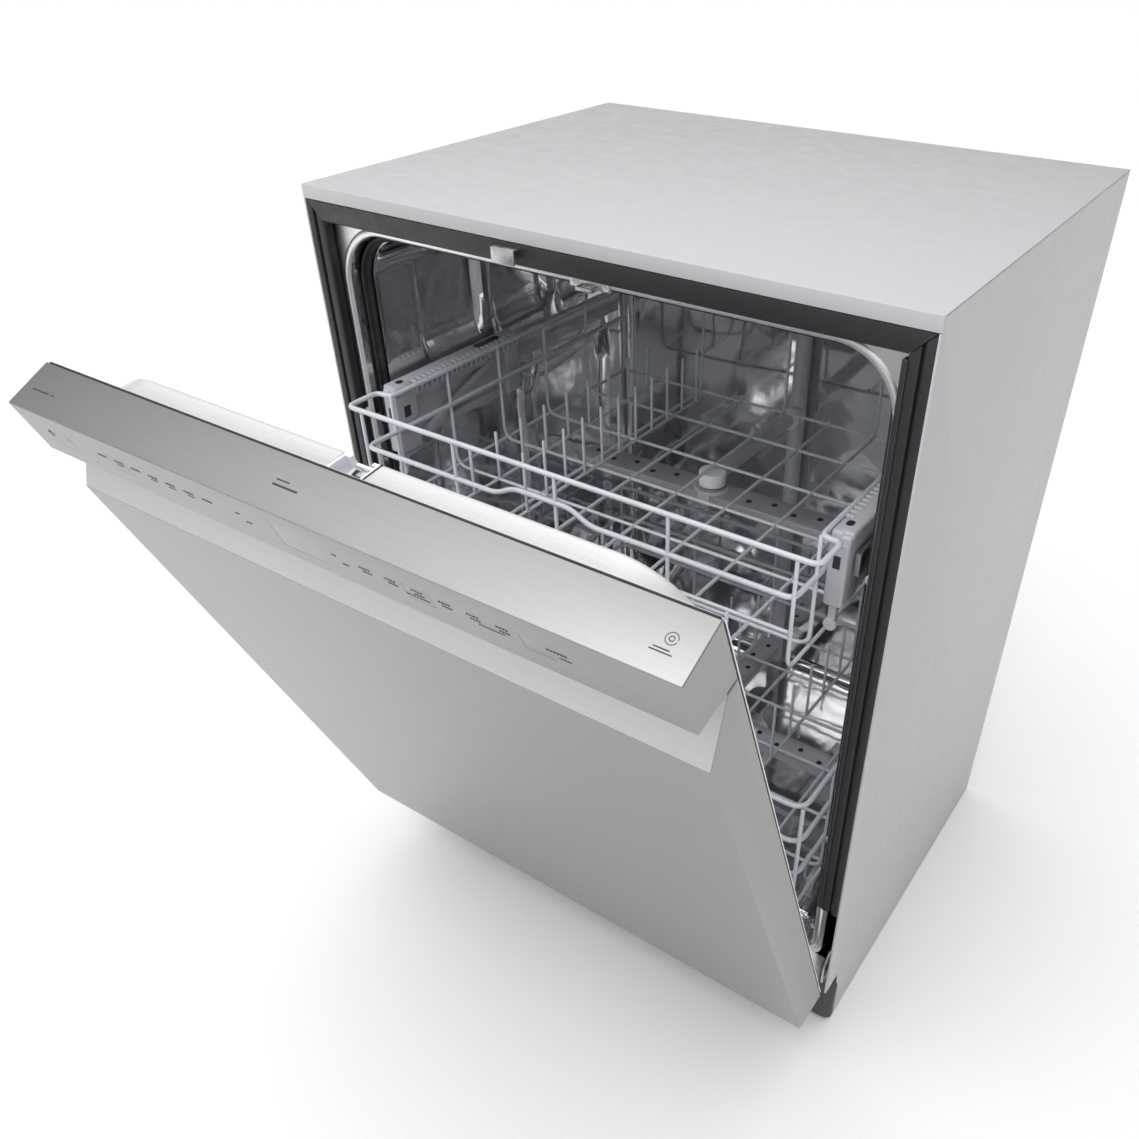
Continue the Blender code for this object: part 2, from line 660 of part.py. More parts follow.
def lower_rack():
    """The plate rack: a wire floor, walls with three rims, fixed tines and axle legs."""
    top, floor, front, back, half = LOWER_TOP, LOWER_FLOOR, LOWER_FRONT, LOWER_BACK, RACK_HALF
    bars = []
    for z in (top, top - 0.048, top - 0.096):
        for y in (front, back):
            bars.append(wire((-half, y, z), (half, y, z)))
        for s in (-1, 1):
            bars.append(wire((s * half, front, z), (s * half, back, z)))
    columns, rows = spread(-half, half, 9), spread(front, back, 7)
    for x in columns:
        bars.append(wire((x, front, floor), (x, back, floor)))
    for x in columns[::2]:
        for y in (front, back):
            bars.append(wire((x, y, floor), (x, y, top)))
    for y in rows:
        bars.append(wire((-half, y, floor), (half, y, floor)))
        for s in (-1, 1):
            bars.append(wire((s * half, y, floor), (s * half, y, top)))
    for x in (columns[4], columns[6]):
        for y in spread(0.045, 0.370, 8):
            bars.append(wire((x, y, floor), (x, y, floor + 0.080), 0.0036))
    for s in (-1, 1):
        for y in WHEEL_Y:
            leg = s * 0.2315
            bars.append(wire((leg, y, WHEEL_Z), (leg, y, floor)))
            bars.append(wire((leg, y, WHEEL_Z), (s * 0.2490, y, WHEEL_Z), 0.0040))
            bars.append(wire((leg, y, floor), (s * half, y, floor)))
    settle(lattice("lower_rack", bars, nylon()), (0, front, floor))


def wheels():
    """Four rollers on the lower rack's axle legs."""
    names = iter(("wheel_front_left", "wheel_rear_left", "wheel_front_right", "wheel_rear_right"))
    for s in (-1, 1):
        for y in WHEEL_Y:
            profile = [(0.0031, -0.0050), (0.016, -0.0050), (WHEEL_R, -0.0035), (WHEEL_R, 0.0035),
                       (0.016, 0.0050), (0.0031, 0.0050)]
            centre = (s * 0.2430, y, WHEEL_Z)
            settle(revolve(next(names), profile, centre, "X", grey_plastic(), 20), centre)


def cutlery_basket():
    """An open plastic basket with three wells and a carrying handle."""
    x0, x1, y0, y1, z0, z1, t = -0.222, -0.148, 0.030, 0.240, 0.1925, 0.3150, 0.0025
    boxes = [((x0, y0, z0), (x1, y1, z0 + t))]
    for x in (x0, x1 - t):
        boxes.append(((x, y0, z0), (x + t, y1, z1)))
    for y in (y0, y0 + 0.070, y1 - 0.070, y1 - t):
        boxes.append(((x0, y, z0), (x1, y + t, z1)))
    mid = (x0 + x1) / 2
    for y in (y0 + 0.070, y1 - 0.070):
        boxes.append(((mid - 0.006, y, z1), (mid + 0.006, y + t, z1 + 0.030)))
    boxes.append(((mid - 0.006, y0 + 0.070, z1 + 0.026), (mid + 0.006, y1 - 0.070 + t, z1 + 0.030)))
    settle(lattice("cutlery_basket", boxes, grey_plastic()), (mid, y0, z0))


# ---- door ---------------------------------------------------------------------------------
def shell(name, outline, inner, half, wall, mat):
    """A folded sheet: an extruded outline with a smaller one cut out, open at the back."""
    body = prism(name, outline, "X", -half, half, mat)
    return carve(body, prism("hollow", inner, "X", -half + wall, half - wall, mat))


def door_panel(parent):
    """The brushed outer sheet, folded round the sides and slanted back at the top for the pull."""
    back, t = DOOR_T - GAP, SKIN
    outline = [door(0, 0), door(0, PANEL_H), door(LIP_D, PANEL_TOP), door(back, PANEL_TOP),
               door(back, -0.0175)]
    inner = [door(t, 0.0007), door(t, PANEL_H - 0.0005), door(LIP_D + 0.0004, PANEL_TOP - t),
             door(0.060, PANEL_TOP - t), door(0.060, -0.0227)]
    panel = shell("door_panel", outline, inner, HALF, t, brushed())
    settle(apply_modifiers(panel), (0, HINGE_Y, HINGE_Z), parent)


def control_panel(parent):
    """The box above the pull, with its keys' and display's windows cut through the front."""
    back, t, front = DOOR_T - GAP, 0.0020, 0.001
    outline = [door(front, CONTROL_Z), door(front, DOOR_H), door(back, 0.6693), door(back, 0.6135)]
    inner = [door(front + t, CONTROL_Z + t), door(front + t, DOOR_H - t), door(0.060, 0.6693 + 0.0014 - t),
             door(0.060, 0.6135 - 0.0013 + t)]
    panel = shell("control_panel", outline, inner, HALF, t, brushed())
    for x, half_x, low, high in WINDOWS:
        lo, hi = door(-0.004, low - GAP), door(0.010, high + GAP)
        carve(panel, box("window", (x - half_x - GAP, *lo), (x + half_x + GAP, *hi), brushed()))
    settle(apply_modifiers(panel), (0, HINGE_Y, HINGE_Z), parent)


KEY_HALF, KEY_LOW, KEY_HIGH = 0.011, 0.633, 0.647
DISPLAY = (0.004, 0.020, 0.629, 0.651)
WINDOWS = [DISPLAY] + [(x, KEY_HALF, KEY_LOW, KEY_HIGH) for x in KEY_X.values()]


def keys(parent):
    """Flush keys that press in a little, and the display's window."""
    for name, x in KEY_X.items():
        lo, hi = door(0.001, KEY_LOW), door(0.0045, KEY_HIGH)
        pad = box(name, (x - KEY_HALF, *lo), (x + KEY_HALF, *hi), brushed(), 0.0002, 1)
        settle(pad, (x, *door(0.001, (KEY_LOW + KEY_HIGH) / 2)), parent)
    x, half, low, high = DISPLAY
    lo, hi = door(0.0011, low), door(0.0032, high)
    settle(box("display_window", (x - half, *lo), (x + half, *hi), glass()), (0, HINGE_Y, HINGE_Z), parent)


def door_liner(parent):
    """The pressed steel inner panel: rim, raised sealing bead and a deep field inside it."""
    def ring(depth, half, low, high, radius):
        y, z = door(depth, 0)
        return y, half, z + low, z + high, radius

    tub_side = [ring(0.0195, 0.2555, 0.032, 0.566, 0.038), ring(0.0205, 0.2575, 0.030, 0.568, 0.040),
                ring(0.0440, 0.2585, 0.0285, 0.598, 0.042), ring(0.0675, 0.2595, 0.027, 0.639, 0.045),
                ring(0.0690, 0.2605, 0.026, 0.640, 0.046), ring(0.0690, 0.2680, 0.014, 0.6525, 0.054),
                ring(0.0680, 0.2695, 0.0125, 0.654, 0.055), ring(0.0467, 0.2710, 0.0115, 0.6585, 0.056),
                ring(0.0467, 0.3005, -0.0185, 0.6660, 0.004)]
    door_side = [ring(0.0455, 0.3005, -0.0185, 0.6660, 0.004), ring(0.0455, 0.2695, 0.0130, 0.6570, 0.0548),
                 ring(0.0674, 0.2683, 0.0137, 0.6528, 0.0538), ring(0.0679, 0.2672, 0.0148, 0.6517, 0.0532),
                 ring(0.0679, 0.2617, 0.0248, 0.6412, 0.0472), ring(0.0664, 0.2607, 0.0258, 0.6402, 0.0462),
                 ring(0.0430, 0.2597, 0.0273, 0.5994, 0.0432), ring(0.0199, 0.2587, 0.0288, 0.5694, 0.0412),
                 ring(0.0185, 0.2562, 0.0313, 0.5667, 0.0387)]
    liner = loft("door_liner", tub_side + door_side, stainless())
    lo, hi = door(0.0476, 0.6405), door(0.075, 0.670)
    carve(liner, box("latch_cut", (LATCH_X - 0.018, *lo), (LATCH_X + 0.018, *hi), stainless()))
    settle(apply_modifiers(liner), (0, HINGE_Y, HINGE_Z), parent)


def latch(parent):
    """The latch's open housing in the liner's top edge, and the hook that turns in it."""
    x = LATCH_X
    lo, hi = door(0.0480, 0.6412), door(0.0672, 0.6545)
    body = box("latch_housing", (x - 0.0175, *lo), (x + 0.0175, *hi), pale_plastic())
    lo, hi = door(0.0520, 0.6432), door(0.0700, 0.660)
    carve(body, box("mouth", (x - 0.0120, *lo), (x + 0.0120, *hi), pale_plastic()))
    settle(apply_modifiers(body), (0, HINGE_Y, HINGE_Z), parent)
    y, z = door(0.0600, 0.6455)
    outline = arc(y, z, 0.0016, 120, 330, 6) + [(y + 0.0052, z - 0.0014), (y + 0.0056, z + 0.0016),
                                               (y + 0.0044, z + 0.0018), (y + 0.0042, z + 0.0002)]
    settle(prism("latch_hook", outline, "X", x - 0.0035, x + 0.0035, zinc()), (x, y, z), parent)


def dispenser(parent):
    """The detergent dispenser: a housing with a powder cup, its lid and the rinse-aid cap."""
    lo, hi = door(0.0200, CUP_H - 0.050), door(0.0360, CUP_H + 0.050)
    body = box("dispenser", (-0.085, *lo), (0.085, *hi), pale_plastic(), 0.003, 1)
    lo, hi = door(0.0240, CUP_H - 0.035), door(0.050, CUP_H + 0.035)
    carve(body, box("cup", (-0.070, *lo), (0.010, *hi), pale_plastic()))
    settle(apply_modifiers(body), (0, HINGE_Y, HINGE_Z), parent)
    lo, hi = door(0.0364, CUP_H - 0.039), door(0.0392, CUP_H + 0.039)
    lid = box("dispenser_lid", (-0.074, *lo), (0.014, *hi), pale_plastic(), 0.0008, 1)
    settle(lid, (-0.030, *door(0.0392, CUP_H - 0.039)), parent)
    y, z = door(0.0364, CUP_H)
    cap = revolve("rinse_cap", [(0, 0), (0.017, 0), (0.017, 0.004), (0.015, 0.0052), (0, 0.0052)],
                  (0.048, y, z), "Y", grey_plastic(), 20)
    lo, hi = door(0.0400, CUP_H - 0.002), door(0.0450, CUP_H + 0.002)
    carve(cap, box("bar", (0.036, *lo), (0.060, *hi), grey_plastic()), "UNION")
    settle(apply_modifiers(cap), (0.048, y, z), parent)


# ---- hinges -------------------------------------------------------------------------------
def hinge(side, parent):
    """A bracket with the pivot pin on the base, the door's arm on it, and the balance spring."""
    sign = -1 if side == "left" else 1
    plate = [(0.004, 0.092), (0.032, 0.084), (0.032, 0.010), (0.085, 0.010), (0.085, 0.100), (0.052, 0.132),
             (0.016, 0.132), (0.004, 0.118)]
    bracket = prism("hinge_bracket_" + side, plate, "X", sign * 0.2920, sign * 0.2945, zinc())
    pin = revolve("pin", [(0, -0.0048), (0.004, -0.0048), (0.004, 0.0010), (0, 0.0010)],
                  (sign * 0.2915, HINGE_Y, HINGE_Z), "X", zinc(), 14)
    if sign < 0:
        pin.data.transform(Matrix.Translation((2 * sign * 0.2915, 0, 0)) @ Matrix.Diagonal((-1, 1, 1, 1)))
        pin.data.flip_normals()
    settle(apply_modifiers(carve(bracket, pin, "UNION")))
    rim = DOOR_Y + 0.0467 + GAP
    outline = [(rim, 0.1180), (rim, 0.232), (rim + 0.006, 0.232), (0.000, 0.205), (0.0085, 0.165),
               (0.0175, 0.128)]
    outline += arc(HINGE_Y, HINGE_Z, 0.0110, 20, -150, 7)
    arm = prism("hinge_arm_" + side, outline, "X", sign * 0.2880, sign * 0.2910, zinc())
    hole = revolve("pivot", [(0, -0.01), (0.0044, -0.01), (0.0044, 0.01), (0, 0.01)],
                   (sign * 0.2895, HINGE_Y, HINGE_Z), "X", zinc(), 14)
    settle(apply_modifiers(carve(arm, hole)), (sign * 0.2895, HINGE_Y, HINGE_Z), parent)
    turns, steps, r, z = 9, 7, 0.0065, 0.086
    x, y0, y1 = sign * 0.2800, 0.105, 0.205
    path = [(x, 0.088, z), (x, y0 - 0.006, z)]
    for i in range(turns * steps + 1):
        a = math.tau * i / steps
        path.append((x + r * math.sin(a), y0 + (y1 - y0) * i / (turns * steps), z + r * math.cos(a)))
    path += [(x, y1 + 0.006, z), (x, 0.225, z)]
    settle(sweep("door_spring_" + side, path, 0.0011, zinc(), 5))


# ---- assembly -----------------------------------------------------------------------------
def main():
    for obj in list(bpy.data.objects):
        bpy.data.objects.remove(obj)
    top_panel()
    side_panel("left")
    side_panel("right")
    rear_panel()
    base_tray()
    feet()
    kick_plate()
    trims()
    mount_bracket()
    tub()
    tub_gasket()
    latch_strike()
    sump()
    filters()
    pumps()
    feed_tube()
    spray_arm("spray_arm_lower", 4, 0.188, 0.034, 0.158, 0.168, 0.1515, 0.176, 0.024)
    spray_arm("spray_arm_middle", 2, 0.175, 0.036, 0.485, 0.494, 0.481, 0.4970, 0.020)
    spray_arm("spray_arm_top", 2, 0.110, 0.030, 0.722, 0.730, 0.718, 0.7330, 0.018)
    rails()
    upper_rack()
    adjusters()
    tines_upper()
    rack_feed_tube()
    lower_rack()
    wheels()
    cutlery_basket()
    frame = bpy.data.objects.new("door_frame", None)
    bpy.context.scene.collection.objects.link(frame)
    frame.location = (0, FRONT + HINGE_Y, HINGE_Z)
    frame.rotation_euler = (DOOR_ANGLE, 0, 0)
    door_panel(frame)
    control_panel(frame)
    keys(frame)
    door_liner(frame)
    latch(frame)
    dispenser(frame)
    hinge("left", frame)
    hinge("right", frame)


main()
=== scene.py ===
"""Looks for the built-in dishwasher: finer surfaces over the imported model, materials, light, camera.

Helpers take "casing" coordinates: x from the centre line, y from the casing's front plane, z from
its underside. Door pieces are drawn with the door shut, then turned to its rest angle.
"""
import json
import math

import bmesh
import bpy
from mathutils import Matrix, Vector


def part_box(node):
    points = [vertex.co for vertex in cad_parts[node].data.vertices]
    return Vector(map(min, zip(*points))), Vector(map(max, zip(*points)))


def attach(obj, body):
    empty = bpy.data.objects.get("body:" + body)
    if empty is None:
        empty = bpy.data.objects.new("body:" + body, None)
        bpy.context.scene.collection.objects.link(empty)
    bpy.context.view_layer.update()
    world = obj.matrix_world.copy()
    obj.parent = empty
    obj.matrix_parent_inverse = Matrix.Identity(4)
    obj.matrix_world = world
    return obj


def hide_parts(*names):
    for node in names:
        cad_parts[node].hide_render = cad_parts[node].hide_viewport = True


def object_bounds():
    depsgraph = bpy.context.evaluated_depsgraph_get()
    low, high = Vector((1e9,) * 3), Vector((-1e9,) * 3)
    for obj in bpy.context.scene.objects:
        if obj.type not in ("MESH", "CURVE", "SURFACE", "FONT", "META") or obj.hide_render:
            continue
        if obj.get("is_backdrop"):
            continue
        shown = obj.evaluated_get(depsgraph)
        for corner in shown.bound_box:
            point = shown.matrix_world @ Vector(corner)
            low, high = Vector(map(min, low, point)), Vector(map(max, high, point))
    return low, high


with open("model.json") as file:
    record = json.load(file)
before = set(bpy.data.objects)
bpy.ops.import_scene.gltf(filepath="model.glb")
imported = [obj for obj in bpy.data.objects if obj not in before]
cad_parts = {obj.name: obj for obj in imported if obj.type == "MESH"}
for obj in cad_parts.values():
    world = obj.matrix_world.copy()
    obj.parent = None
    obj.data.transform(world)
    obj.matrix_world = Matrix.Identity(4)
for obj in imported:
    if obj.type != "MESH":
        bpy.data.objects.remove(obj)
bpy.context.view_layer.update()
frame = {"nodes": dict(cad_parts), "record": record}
DOME_LOW, DOME_PEAK = 0.12, 2.10                     # the dome's strength at its edge and at its peak
DOME_WAY = (-0.15, -0.22, 1.0)                       # towards its peak
DOME_EDGE = 0.33                                     # cosine from the peak where it has faded out

# ---- places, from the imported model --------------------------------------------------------
JOINTS = {j["name"]: j for j in frame["record"]["behaviour"]["joints"]}
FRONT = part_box("top_panel")[0][1]                    # world y of the casing's front plane
HINGE = Vector(JOINTS["door_hinge"]["pos_m"])
SHUT = math.radians(-JOINTS["door_hinge"]["range_deg"][0])
DOOR = Matrix.Translation(HINGE) @ Matrix.Rotation(SHUT, 4, "X") @ Matrix.Translation(-HINGE)
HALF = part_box("top_panel")[1][0]
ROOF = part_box("top_panel")[1][2]
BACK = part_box("rear_panel")[1][1] - FRONT
DOOR_Y, DOOR_Z = -0.0592, 0.1280                     # front bottom edge of the shut door
DOOR_TOP = 0.66541                                   # the control panel's top, at the door's front
TOP_SLOPE = math.atan2(0.6693 - 0.6655, 0.0434 - 0.0010)


def cab(x, y, z):
    """World point from casing coordinates."""
    return Vector((x, y + FRONT, z))


# ---- materials ----------------------------------------------------------------------------
class Shader:
    """A Principled material with a few procedural helpers."""

    def __init__(self, name, colour, rough, metal=0.0):
        self.material = bpy.data.materials.new(name)
        self.material.use_nodes = True
        self.tree = self.material.node_tree
        self.out = self.tree.nodes["Principled BSDF"]
        self.out.inputs["Base Color"].default_value = (*colour, 1)
        self.out.inputs["Roughness"].default_value = rough
        self.out.inputs["Metallic"].default_value = metal
        self.material.diffuse_color = (*colour, 1)
        self.colour = colour
        self.coords = self.tree.nodes.new("ShaderNodeTexCoord").outputs["Object"]

    def link(self, a, b):
        self.tree.links.new(a, b)

    def noise(self, scale, detail=4.0, stretch=(1, 1, 1), warp=0.0):
        mapping = self.tree.nodes.new("ShaderNodeMapping")
        mapping.inputs["Scale"].default_value = stretch
        self.link(self.coords, mapping.inputs["Vector"])
        node = self.tree.nodes.new("ShaderNodeTexNoise")
        node.inputs["Scale"].default_value = scale
        node.inputs["Detail"].default_value = detail
        node.inputs["Distortion"].default_value = warp
        self.link(mapping.outputs[0], node.inputs["Vector"])
        return node.outputs["Fac"]

    def spots(self, scale):
        node = self.tree.nodes.new("ShaderNodeTexVoronoi")
        node.inputs["Scale"].default_value = scale
        self.link(self.coords, node.inputs["Vector"])
        return node.outputs["Distance"]

    def remap(self, fac, low, high, start=0.3, end=0.7):
        node = self.tree.nodes.new("ShaderNodeMapRange")
        for key, value in (("From Min", start), ("From Max", end), ("To Min", low), ("To Max", high)):
            node.inputs[key].default_value = value
        self.link(fac, node.inputs["Value"])
        return node.outputs["Result"]

    def blend(self, fac, a, b):
        node = self.tree.nodes.new("ShaderNodeMix")
        node.data_type = "RGBA"
        for socket, value in ((node.inputs[6], a), (node.inputs[7], b)):
            if isinstance(value, tuple):
                socket.default_value = (*value, 1)
            else:
                self.link(value, socket)
        self.link(fac, node.inputs[0])
        return node.outputs[2]

    def paint(self, output):
        self.link(output, self.out.inputs["Base Color"])

    def rough(self, output):
        self.link(output, self.out.inputs["Roughness"])

    def bump(self, height, strength, distance=0.001, after=None):
        node = self.tree.nodes.new("ShaderNodeBump")
        node.inputs["Strength"].default_value = strength
        node.inputs["Distance"].default_value = distance
        self.link(height, node.inputs["Height"])
        if after:
            self.link(after, node.inputs["Normal"])
        self.link(node.outputs[0], self.out.inputs["Normal"])
        return node.outputs[0]


def tint(colour, k):
    """A colour made darker or lighter."""
    return tuple(min(1.0, c * k) for c in colour)


def painted_edge_highlight(s, base, lit_edge):
    """Lightens a colour on sharp convex edges: a painted highlight."""
    geometry = s.tree.nodes.new("ShaderNodeNewGeometry")
    return s.blend(s.remap(geometry.outputs["Pointiness"], 0, 1, 0.515, 0.56), base, lit_edge)


def painted(name, colour, rough=0.42):
    """Powder-coated sheet: fine orange peel, faint clouding, specks and a painted highlight on sharp edges.
    """
    s = Shader(name, colour, rough)
    cloud = s.remap(s.noise(5.0, 3), 0, 1)
    body = s.blend(cloud, tint(colour, 0.975), tint(colour, 1.02))
    # sharp edges lightened a little: a painted highlight
    s.paint(painted_edge_highlight(s, body, tint(colour, 1.08)))
    s.rough(s.remap(s.noise(60, 3), rough - 0.05, rough + 0.06))
    first = s.bump(s.noise(900, 2), 0.10, 0.0004)
    s.bump(s.spots(420), 0.05, 0.0003, first)
    return s.material


def brushed(name, colour, rough, grain=(3, 260, 260), depth=0.16, metal=1.0):
    """Steel with straight fine grain across it."""
    s = Shader(name, colour, rough, metal)
    lines = s.noise(9, 5, grain)
    fine = s.noise(16, 3, (grain[0] * 2, grain[1] * 3, grain[2] * 3))
    tone = s.blend(s.remap(lines, 0, 1), tint(colour, 0.93), tint(colour, 1.05))
    smear = s.blend(s.remap(s.noise(3.5, 3), 0, 0.35), tone, tint(colour, 1.04))
    s.paint(smear)
    s.rough(s.remap(fine, rough - 0.06, rough + 0.08))
    s.bump(fine, depth, 0.0004)
    return s.material


def mirror_steel(name, colour, rough):
    """Bright deep-drawn stainless: almost a mirror, with slow waves and faint drawing lines."""
    s = Shader(name, colour, rough, 1.0)
    s.paint(s.blend(s.remap(s.noise(7, 4), 0, 1), tint(colour, 0.94), tint(colour, 1.05)))
    s.rough(s.remap(s.noise(28, 4, (1, 1, 5)), rough * 0.7, rough * 1.5))
    wave = s.bump(s.noise(11, 2, warp=0.6), 0.35, 0.004)
    s.bump(s.noise(240, 2, (1, 1, 0.05)), 0.05, 0.0004, wave)
    return s.material


def moulded(name, colour, rough=0.5):
    """Moulded plastic: spark-eroded texture, slight flow marks, and sharp edges made paler by a painted
    highlight.
    """
    s = Shader(name, colour, rough)
    flow = s.blend(s.remap(s.noise(14, 4), 0, 1), tint(colour, 0.9), tint(colour, 1.1))
    # sharp edges made paler: a painted highlight
    s.paint(painted_edge_highlight(s, flow, tint(colour, 1.5)))
    s.rough(s.remap(s.noise(130, 4), rough - 0.08, rough + 0.1))
    s.bump(s.noise(1300, 2), 0.18, 0.0003)
    return s.material


def zinc():
    """Zinc plating: soft spangle in colour and gloss."""
    colour = (0.56, 0.57, 0.58)
    s = Shader("zinc", colour, 0.35, 1.0)
    s.paint(s.blend(s.remap(s.spots(260), 0, 1, 0.1, 0.6), tint(colour, 0.86), tint(colour, 1.1)))
    s.rough(s.remap(s.noise(160, 4), 0.24, 0.46))
    s.bump(s.noise(500, 3), 0.12, 0.0004)
    return s.material


def rubber():
    colour = (0.020, 0.020, 0.021)
    s = Shader("seal_rubber", colour, 0.55)
    s.paint(s.blend(s.remap(s.noise(60, 5), 0, 1), tint(colour, 0.7), tint(colour, 1.7)))
    s.rough(s.remap(s.noise(90, 4), 0.45, 0.75))
    s.bump(s.noise(700, 3), 0.25, 0.0004)
    return s.material


def coated_wire():
    """Thick nylon over wire: glossy, with a slightly uneven skin."""
    colour = (0.66, 0.70, 0.76)
    s = Shader("coated_wire", colour, 0.28)
    s.out.inputs["Coat Weight"].default_value = 0.35
    s.out.inputs["Coat Roughness"].default_value = 0.15
    s.paint(s.blend(s.remap(s.noise(35, 4), 0, 1), tint(colour, 0.92), tint(colour, 1.05)))
    s.rough(s.remap(s.noise(80, 3), 0.22, 0.38))
    s.bump(s.noise(210, 3), 0.2, 0.0006)
    return s.material


def smoked_glass():
    colour = (0.322, 0.322, 0.320)
    s = Shader("display_glass", colour, 0.34, 1.0)
    s.out.inputs["Coat Weight"].default_value = 0.02
    s.paint(s.blend(s.remap(s.spots(1500), 0, 1, 0.1, 0.5), tint(colour, 0.9), tint(colour, 1.08)))
    s.rough(s.remap(s.noise(60, 3), 0.31, 0.38))
    return s.material


def ink():
    colour = (0.028, 0.028, 0.031)
    s = Shader("print_ink", colour, 0.55)
    s.paint(s.blend(s.remap(s.noise(900, 3), 0, 1), tint(colour, 0.7), tint(colour, 1.8)))
    s.rough(s.remap(s.noise(300, 3), 0.45, 0.65))
    return s.material


CASING = painted("casing_paint", (0.51, 0.505, 0.525))
DOOR_STEEL = brushed("door_steel", (0.325, 0.325, 0.323), 0.34)
# A lighter copy of the door's steel for the pocket's lip, which faces up: painted light on the same sheet.
POCKET_STEEL_PAINTED_LIGHT = brushed("pocket_steel_painted_light", (0.57, 0.57, 0.57), 0.36)
TUB_STEEL = mirror_steel("tub_steel", (0.76, 0.76, 0.775), 0.075)
FLANGE_STEEL = brushed("flange_steel", (0.86, 0.86, 0.87), 0.38, (120, 4, 120), 0.04)
LINER_STEEL = brushed("liner_steel", (0.80, 0.80, 0.81), 0.32, (4, 120, 120), 0.04, 0.3)
RAIL_STEEL = brushed("rail_steel", (0.55, 0.55, 0.56), 0.28, (260, 3, 260), 0.1)
ZINC = zinc()
BLACK = moulded("trim_plastic", (0.019, 0.019, 0.021), 0.42)
TRAY = moulded("tray_plastic", (0.030, 0.030, 0.032), 0.6)
KICK = painted("kick_paint", (0.048, 0.048, 0.052), 0.45)
GREY = moulded("grey_plastic", (0.36, 0.36, 0.39), 0.42)
PALE = moulded("pale_plastic", (0.66, 0.67, 0.69), 0.38)
FRAME = moulded("frame_plastic", (0.56, 0.57, 0.59), 0.4)
SEAL = rubber()
WIRE = coated_wire()
GLASS = smoked_glass()
INK = ink()


# ---- mesh helpers -------------------------------------------------------------------------
def piece(name, bm, mat, body, nodes=(), place=None, smooth=35):
    """A bmesh as a finished piece that rides on a body and stands for the given CAD nodes."""
    bmesh.ops.recalc_face_normals(bm, faces=bm.faces)
    if place:
        bm.transform(place)
    for face in bm.faces:
        face.smooth = True
    limit = math.radians(smooth)
    for edge in bm.edges:
        if len(edge.link_faces) == 2 and edge.calc_face_angle(0) > limit:
            edge.smooth = False
    mesh = bpy.data.meshes.new(name)
    bm.to_mesh(mesh)
    bm.free()
    mesh.materials.append(mat)
    obj = bpy.data.objects.new(name, mesh)
    bpy.context.scene.collection.objects.link(obj)
    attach(obj, body)
    if nodes:
        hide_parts(*nodes)
    return obj


def body_of(node):
    """The record's body that holds a node."""
    for body, nodes in frame["record"]["behaviour"]["bodies"].items():
        if node in nodes:
            return body
    return None


def swell(bm, grow):
    """Widens a key or window in the plane of the door's front, almost up to its hole."""
    turn = Matrix.Rotation(SHUT, 4, "X")
    bm.transform(turn.inverted())
    middle = [(min(v.co[i] for v in bm.verts) + max(v.co[i] for v in bm.verts)) / 2 for i in range(3)]
    for v in bm.verts:
        for i in (0, 2):
            v.co[i] += math.copysign(grow, v.co[i] - middle[i])
    bm.transform(turn)


def in_hole(edge, holes):
    """Whether an edge runs round one of the holes that these nodes fill."""
    for node in holes:
        lo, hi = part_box(node)
        if all(lo[i] - 0.001 < v.co[i] < hi[i] + 0.001 for v in edge.verts for i in range(3)):
            return True
    return False


def soften(node, mat, width=0.0006, segments=2, smooth=35, grow=0.0, holes=()):
    """The CAD node with its sharp edges rounded, apart from those round small holes."""
    bm = bmesh.new()
    bm.from_mesh(frame["nodes"][node].data)
    bmesh.ops.remove_doubles(bm, verts=bm.verts, dist=1e-6)
    if grow:
        swell(bm, grow)
    bmesh.ops.dissolve_limit(bm, angle_limit=math.radians(0.6), verts=bm.verts, edges=bm.edges)
    sharp = [e for e in bm.edges if len(e.link_faces) == 2 and e.calc_face_angle(0) > math.radians(32)
             and not in_hole(e, holes)]
    bmesh.ops.bevel(bm, geom=sharp, offset=width, segments=segments, profile=0.5, affect="EDGES",
                    clamp_overlap=True)
    return piece(node + "_fine", bm, mat, body_of(node), [node], smooth=smooth)


def keep(node, mat):
    """The CAD node as it is, with a better material."""
    obj = frame["nodes"][node]
    obj.data.materials.clear()
    obj.data.materials.append(mat)
    return obj


def round_path(points, radius):
    """Rounds the corners of a path."""
    steps = 5
    points = [Vector(p) for p in points]
    out = [points[0]]
    for before, here, after in zip(points, points[1:], points[2:]):
        reach = min(radius, (before - here).length * 0.45, (after - here).length * 0.45)
        a = here + (before - here).normalized() * reach
        b = here + (after - here).normalized() * reach
        for i in range(steps + 1):
            t = i / steps
            out.append(a.lerp(here, t).lerp(here.lerp(b, t), t))
    out.append(points[-1])
    return out


def add_tube(bm, path, radius):
    """A round bar with domed ends along a path of world points."""
    sides = 10
    path = [Vector(p) for p in path]
    count = len(path)
    side = None
    loops = []
    for i, point in enumerate(path):
        before, after = path[max(i - 1, 0)], path[min(i + 1, count - 1)]
        ahead = (after - before).normalized()
        if side is None:
            side = ahead.orthogonal().normalized()
        side = (side - ahead * side.dot(ahead)).normalized()
        up = ahead.cross(side)
        rings = [(0.0, radius)]
        if i == 0:
            rings = [(-radius * 0.5, radius * 0.45), (-radius * 0.3, radius * 0.85), (0.0, radius)]
        if i == count - 1:
            rings = [(0.0, radius), (radius * 0.3, radius * 0.85), (radius * 0.5, radius * 0.45)]
        for shift, size in rings:
            loop = []
            for k in range(sides):
                a = math.tau * k / sides
                spoke = math.cos(a) * side + math.sin(a) * up
                loop.append(bm.verts.new(point + ahead * shift + size * spoke))
            loops.append(loop)
    for a, b in zip(loops, loops[1:]):
        for i in range(sides):
            j = (i + 1) % sides
            bm.faces.new((a[i], a[j], b[j], b[i]))
    bm.faces.new(loops[0])
    bm.faces.new(loops[-1])


def arc(cx, cy, radius, start, end, steps):
    """Points along an arc, angles in degrees."""
    points = []
    for i in range(steps + 1):
        a = math.radians(start + (end - start) * i / steps)
        points.append((cx + radius * math.cos(a), cy + radius * math.sin(a)))
    return points


